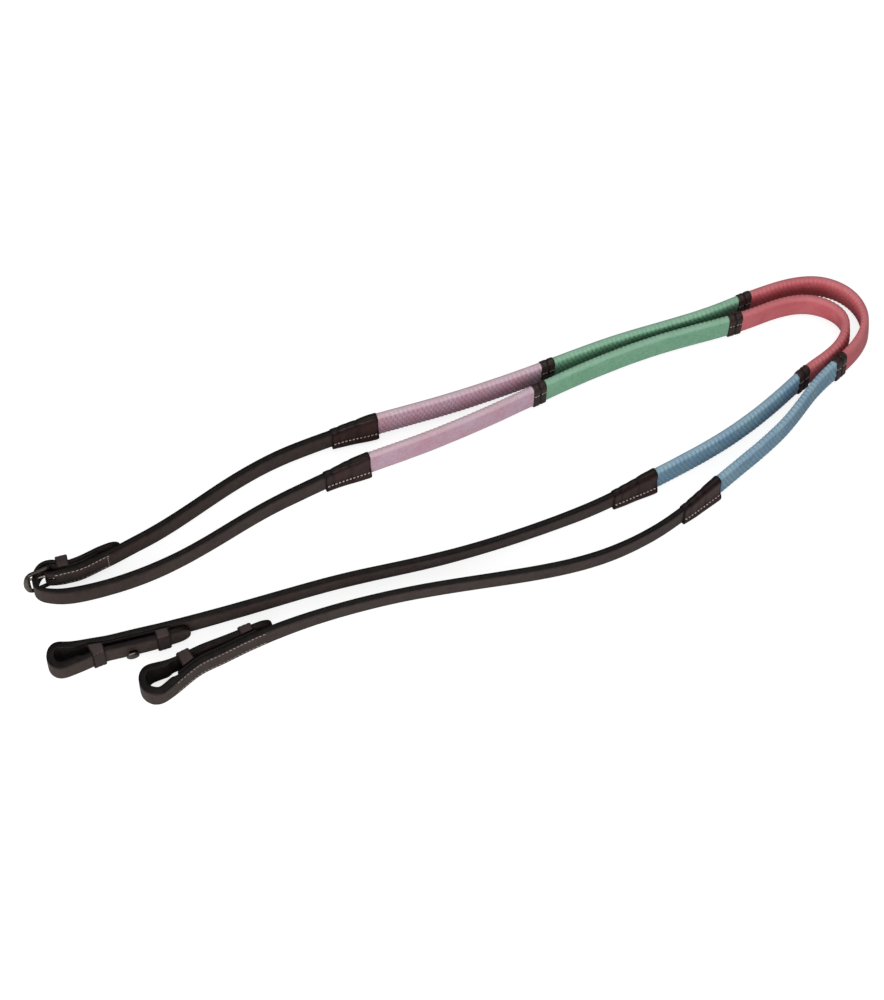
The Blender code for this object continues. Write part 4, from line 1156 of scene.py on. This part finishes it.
# ---------------------------------------------------------------- build both reins
def build_rein(rein):
    number = rein.number
    prefix = f"rein{number}"
    first_run, last_run, bit_body = f"{prefix}_lilac_run", f"{prefix}_blue_run", f"{prefix}_bit_end"

    piece = strap_piece(f"{prefix}_hand_flex_leather", rein, *rein.hand_bend, number * 5)
    bends(piece, "centre", first_run, rein, *rein.hand_bend)
    start, end = rein.hand_bend[1], rein.sleeve_start + SLEEVE_OVERLAP
    piece = strap_piece(f"{prefix}_hand_strap_leather", rein, start, end, number * 5)
    on_body(piece, first_run, f"{prefix}_hand_strap")
    sleeve(rein, "hand", first_run, rein.sleeve_start, rein.grip_start, seed=number * 1.3)

    for index in range(4):
        grip(rein, index)
        if index < 3:
            divider(rein, index)

    sleeve(rein, "bit", last_run, rein.sleeve_end, rein.grip_end, seed=number * 2.1)
    start, end = rein.sleeve_end - SLEEVE_OVERLAP, rein.bit_bend[0]
    piece = strap_piece(f"{prefix}_bit_strap_leather", rein, start, end, number * 7)
    on_body(piece, last_run, f"{prefix}_bit_strap")
    piece = strap_piece(f"{prefix}_bit_flex_leather", rein, *rein.bit_bend, number * 7)
    bends(piece, last_run, bit_body, rein, *rein.bit_bend)

    bit_billet(rein, bit_body)
    lining(rein, bit_body)
    bit_keepers(rein, bit_body)
    hook_stud(rein, bit_body)


for rein in (rein1, rein2):
    build_rein(rein)

# ---------------------------------------------------------------- centre joint
fold_at = rein1.near(*(HEEL + unit(194) * FOLD_MIDDLE_R), before=60)
keeper_at = rein1.near(16.6, 2.9, after=fold_at + 3, before=60)
HEEL_MIDDLE = level(HEEL, Z_BUCKLE)
TONGUE_WAY = level(unit(TONGUE_YAW))


def chape():
    """Rein 1's start: turned-back end, fold round the heel bar, main strap to the flex piece."""
    stations = rein1.stations(0.0, rein1.hand_bend[0], step=1.5, degrees=5.0)
    thick = FOLD_T + (STRAP_T - FOLD_T) * ease(stations, fold_at + 5, fold_at + 14)
    # the first 10 mm are skived thin, towards one face
    skived = stations < 10
    thick = np.where(skived, 0.8 + (FOLD_T - 0.8) * np.clip(stations / 10.0, 0, 1), thick)
    shift = np.where(skived, -(FOLD_T - thick) / 2 * 0.6, 0.0)
    sides = np.outer(thick / STRAP_T, STRAP_SIDES) + shift[:, None]
    ups = np.outer(1 + wave(stations, 3.3, 0.008), STRAP_UPS)
    piece = loft("rein1_chape_leather", rein1, stations, sides, ups, STRAP, STRAP_TONE)
    # slot in the fold, where the tongue sits on the heel bar
    across = level(unit(14))
    carve(
        piece, "cut_chape", HEEL_MIDDLE - across * 1.6, through=level(unit(104)), reach=7.0,
        across=across, half_across=5.0, half_up=2.2, count=24, powers=(0.5, 0.7),
    )
    on_body(piece, "centre", "rein1_chape")


def buckle_billet():
    """Rein 2's start: rounded tip behind the chape, through the frame and round."""
    turned = rein2.stations(8.0, rein2.hand_bend[0], step=1.5, degrees=5.0)
    stations = np.concatenate([TIP_STEPS[:-2], turned])
    width = tip_width(STRAP_W, stations, length=8.0)
    thick = BILLET_T + (STRAP_T - BILLET_T) * ease(stations, 75, 100)
    sides = np.outer(thick / STRAP_T, STRAP_SIDES)
    ups = np.outer(width / STRAP_W * (1 + wave(stations, 6.1, 0.008)), STRAP_UPS)
    piece = loft("rein2_buckle_billet_leather", rein2, stations, sides, ups, STRAP, STRAP_TONE)
    carve(
        piece, "cut_hole", HEEL_MIDDLE + TONGUE_WAY * TONGUE_HOLE_AT, through=TONGUE_WAY,
        reach=4.0, across=left_of(TONGUE_WAY), half_across=TONGUE_HOLE_R,
        half_up=TONGUE_HOLE_R, count=20,
    )
    on_body(piece, "centre", "rein2_buckle_billet")


def centre_keeper():
    """Keeper round the billet, its two ends between the layers of the chape."""
    billet_xy = rein2.xy[rein2.arc < 60]
    reach = max(
        rein1.offset_to(keeper_at + CENTRE_KEEPER_LEN * share, billet_xy)
        for share in (-0.55, -0.25, 0.0, 0.25, 0.55)
    )
    piece = keeper(
        "centre_keeper_leather", rein1, keeper_at, CENTRE_KEEPER_LEN,
        foot=lambda at: STRAP_T / 2 + 0.12, reach=reach + BILLET_T / 2 + 0.3,
        half=STRAP_W / 2 + 0.3, sign=1, style=CENTRE_KEEPER,
    )
    on_body(piece, "centre", "centre_keeper")


def chape_stitches():
    """Two rows along the chape's right face and a row across."""
    end = rein1.near(43.6, 15.8, after=fold_at + 3, before=110)
    off = -(STRAP_T / 2 + 0.03)
    spots = [s for up in (5.9, -5.9) for s in stitch_row(keeper_at - 5.5, end, off, up)]
    spots += [(end, off, up, 90.0) for up in (-3.4, -1.1, 1.1, 3.4)]
    stitches("chape_stitches", rein1, "centre", spots, length=1.9, thick=0.36)


def buckle_frame():
    toe_to_heel = level(unit(FRAME_YAW))
    across = left_of(toe_to_heel)
    half_l, half_h, radius = FRAME_PITCH / 2, FRAME_H / 2 - ROD_R, FRAME_CORNER_R

    def corner_point(signs, angle):
        x = signs[0] * (half_l - radius) + radius * math.cos(angle)
        return x, signs[1] * (half_h - radius) + radius * math.sin(angle)

    # centre line as x towards the heel bar, z from mid height, and the outward angle
    path = []
    corners = ((1, 1), (-1, 1), (-1, -1), (1, -1))
    for index, signs in enumerate(corners):
        for k in range(9):
            angle = math.radians(90 * index + 90 * k / 8)
            path.append((*corner_point(signs, angle), angle))
        x0, z0, angle = path[-1]
        x1, z1 = corner_point(corners[(index + 1) % 4], angle)
        count = 14 if index == 1 else 6  # finer down the toe bar
        for k in range(1, count):
            path.append((x0 + (x1 - x0) * k / count, z0 + (z1 - z0) * k / count, angle))
    rings, tone = [], []
    for x, z, angle in path:
        # the toe bar is swelled and bowed outward between its two corners
        toe = 0.0
        if x < -half_l + radius * 0.55:
            toe = max(0.0, 1 - (z / (half_h - radius * 0.4)) ** 2) ** 0.75
        swelling = (TOE_R - ROD_R) * toe
        middle = toe_to_heel * (x - TOE_BOW * toe) + UPWARD * (z + FRAME_H / 2)
        inward = -(toe_to_heel * math.cos(angle) + UPWARD * math.sin(angle))
        rings.append(oval(middle, inward, ROD_R + swelling, across, ROD_R + swelling * 0.2, 20))
        # painted reflection: the arms and heel bar are darkened, standing in for the dark
        # surroundings they reflect; the toe bar stays bright
        tone.append([0.95 - 0.85 * toe] * 20)
    piece = make("buckle_frame_metal", [skin(rings, closed=True)], NICKEL, tone, sharp=80)
    on_body(piece, "frame", "buckle_frame", slot="nickel")


# distance from the heel bar, half width, half height
TONGUE_PIN = [
    (2.3, 1.0, 1.2), (4, 0.95, 1.0), (8, 0.9, 0.9), (12, 0.88, 0.88), (15.0, 0.85, 0.85),
    (16.2, 0.75, 0.75), (16.9, 0.5, 0.5), (17.2, 0.2, 0.2),
]


def buckle_tongue():
    """An eye round the heel bar and a tapering pin."""
    eye = []
    for angle in np.linspace(0, 360, 36, endpoint=False):
        out = level(unit(angle))
        eye.append(oval(HEEL_MIDDLE + out * 2.25, out, 0.5, UPWARD, 1.75, 14, powers=(1, 0.6)))
    pin = [
        oval(HEEL_MIDDLE + TONGUE_WAY * x, left_of(TONGUE_WAY), width, UPWARD, height, 16)
        for x, width, height in TONGUE_PIN
    ]
    piece = make("buckle_tongue_metal", [skin(eye, closed=True), skin(pin)], NICKEL, sharp=70)
    on_body(piece, "tongue", "buckle_tongue", slot="nickel")


chape()
buckle_billet()
centre_keeper()
chape_stitches()
buckle_frame()
buckle_tongue()


# ---------------------------------------------------------------- stage, in metres
def floor_material():
    """Glows for the camera, and is plain grey to every other ray."""
    material = bpy.data.materials.new("floor")
    material.use_nodes = True
    tree = material.node_tree
    tree.nodes.clear()
    output = tree.nodes.new("ShaderNodeOutputMaterial")
    path = tree.nodes.new("ShaderNodeLightPath")
    mix = tree.nodes.new("ShaderNodeMixShader")
    seen = tree.nodes.new("ShaderNodeAddShader")
    glow = tree.nodes.new("ShaderNodeEmission")
    glow.inputs["Strength"].default_value = 0.80
    seen_grey = tree.nodes.new("ShaderNodeBsdfDiffuse")
    seen_grey.inputs["Color"].default_value = (0.42, 0.42, 0.42, 1)
    other_grey = tree.nodes.new("ShaderNodeBsdfDiffuse")
    other_grey.inputs["Color"].default_value = (0.45, 0.45, 0.45, 1)
    for source, socket in (
        (glow.outputs[0], seen.inputs[0]),
        (seen_grey.outputs[0], seen.inputs[1]),
        (path.outputs["Is Camera Ray"], mix.inputs[0]),
        (other_grey.outputs[0], mix.inputs[1]),
        (seen.outputs[0], mix.inputs[2]),
        (mix.outputs[0], output.inputs[0]),
    ):
        tree.links.new(source, socket)
    return material


def add_floor(half, z):
    mesh = bpy.data.meshes.new("floor")
    corners = [(-half, -half, z), (half, -half, z), (half, half, z), (-half, half, z)]
    mesh.from_pydata(corners, [], [(0, 1, 2, 3)])
    floor = bpy.data.objects.new("floor", mesh)
    bpy.context.scene.collection.objects.link(floor)
    mesh.materials.append(floor_material())


def add_world(strength):
    world = bpy.data.worlds.new("studio")
    bpy.context.scene.world = world
    world.use_nodes = True
    background = world.node_tree.nodes["Background"]
    background.inputs["Color"].default_value = (1.0, 1.0, 1.0, 1)
    background.inputs["Strength"].default_value = strength


def add_area(name, at, size, power, aim=(0.28, 0.08, 0.0)):
    light = bpy.data.lights.new(name, "AREA")
    light.shape = "RECTANGLE"
    light.size, light.size_y = size
    light.energy = power
    light.color = (1, 1, 1)
    lamp = bpy.data.objects.new(name, light)
    lamp.location = at
    lamp.rotation_euler = (Vector(aim) - Vector(at)).to_track_quat("-Z", "Y").to_euler()
    bpy.context.scene.collection.objects.link(lamp)


def add_camera(at, below_level, lens):
    """A camera facing +Y, tipped down by below_level degrees."""
    data = bpy.data.cameras.new("camera")
    data.lens = lens
    data.sensor_width = 36.0
    data.sensor_fit = "AUTO"
    data.clip_start = 0.05
    camera = bpy.data.objects.new("camera", data)
    camera.location = at
    camera.rotation_euler = (math.radians(90 - below_level), 0, 0)
    bpy.context.scene.collection.objects.link(camera)
    bpy.context.scene.camera = camera


add_floor(half=6.0, z=-0.0012)
add_world(strength=0.22)
add_area("key", at=(0.1, -1.25, 0.8), size=(1.8, 0.9), power=20.0)
add_area("top", at=(0.4, 0.3, 1.7), size=(1.6, 1.0), power=9.5)
add_area("left", at=(-1.3, 0.0, 0.9), size=(0.9, 0.9), power=4.0)
add_camera(at=(0.266, -1.0247, 1.7183), below_level=57.51, lens=108.33)
bpy.context.scene.view_settings.view_transform = "Standard"
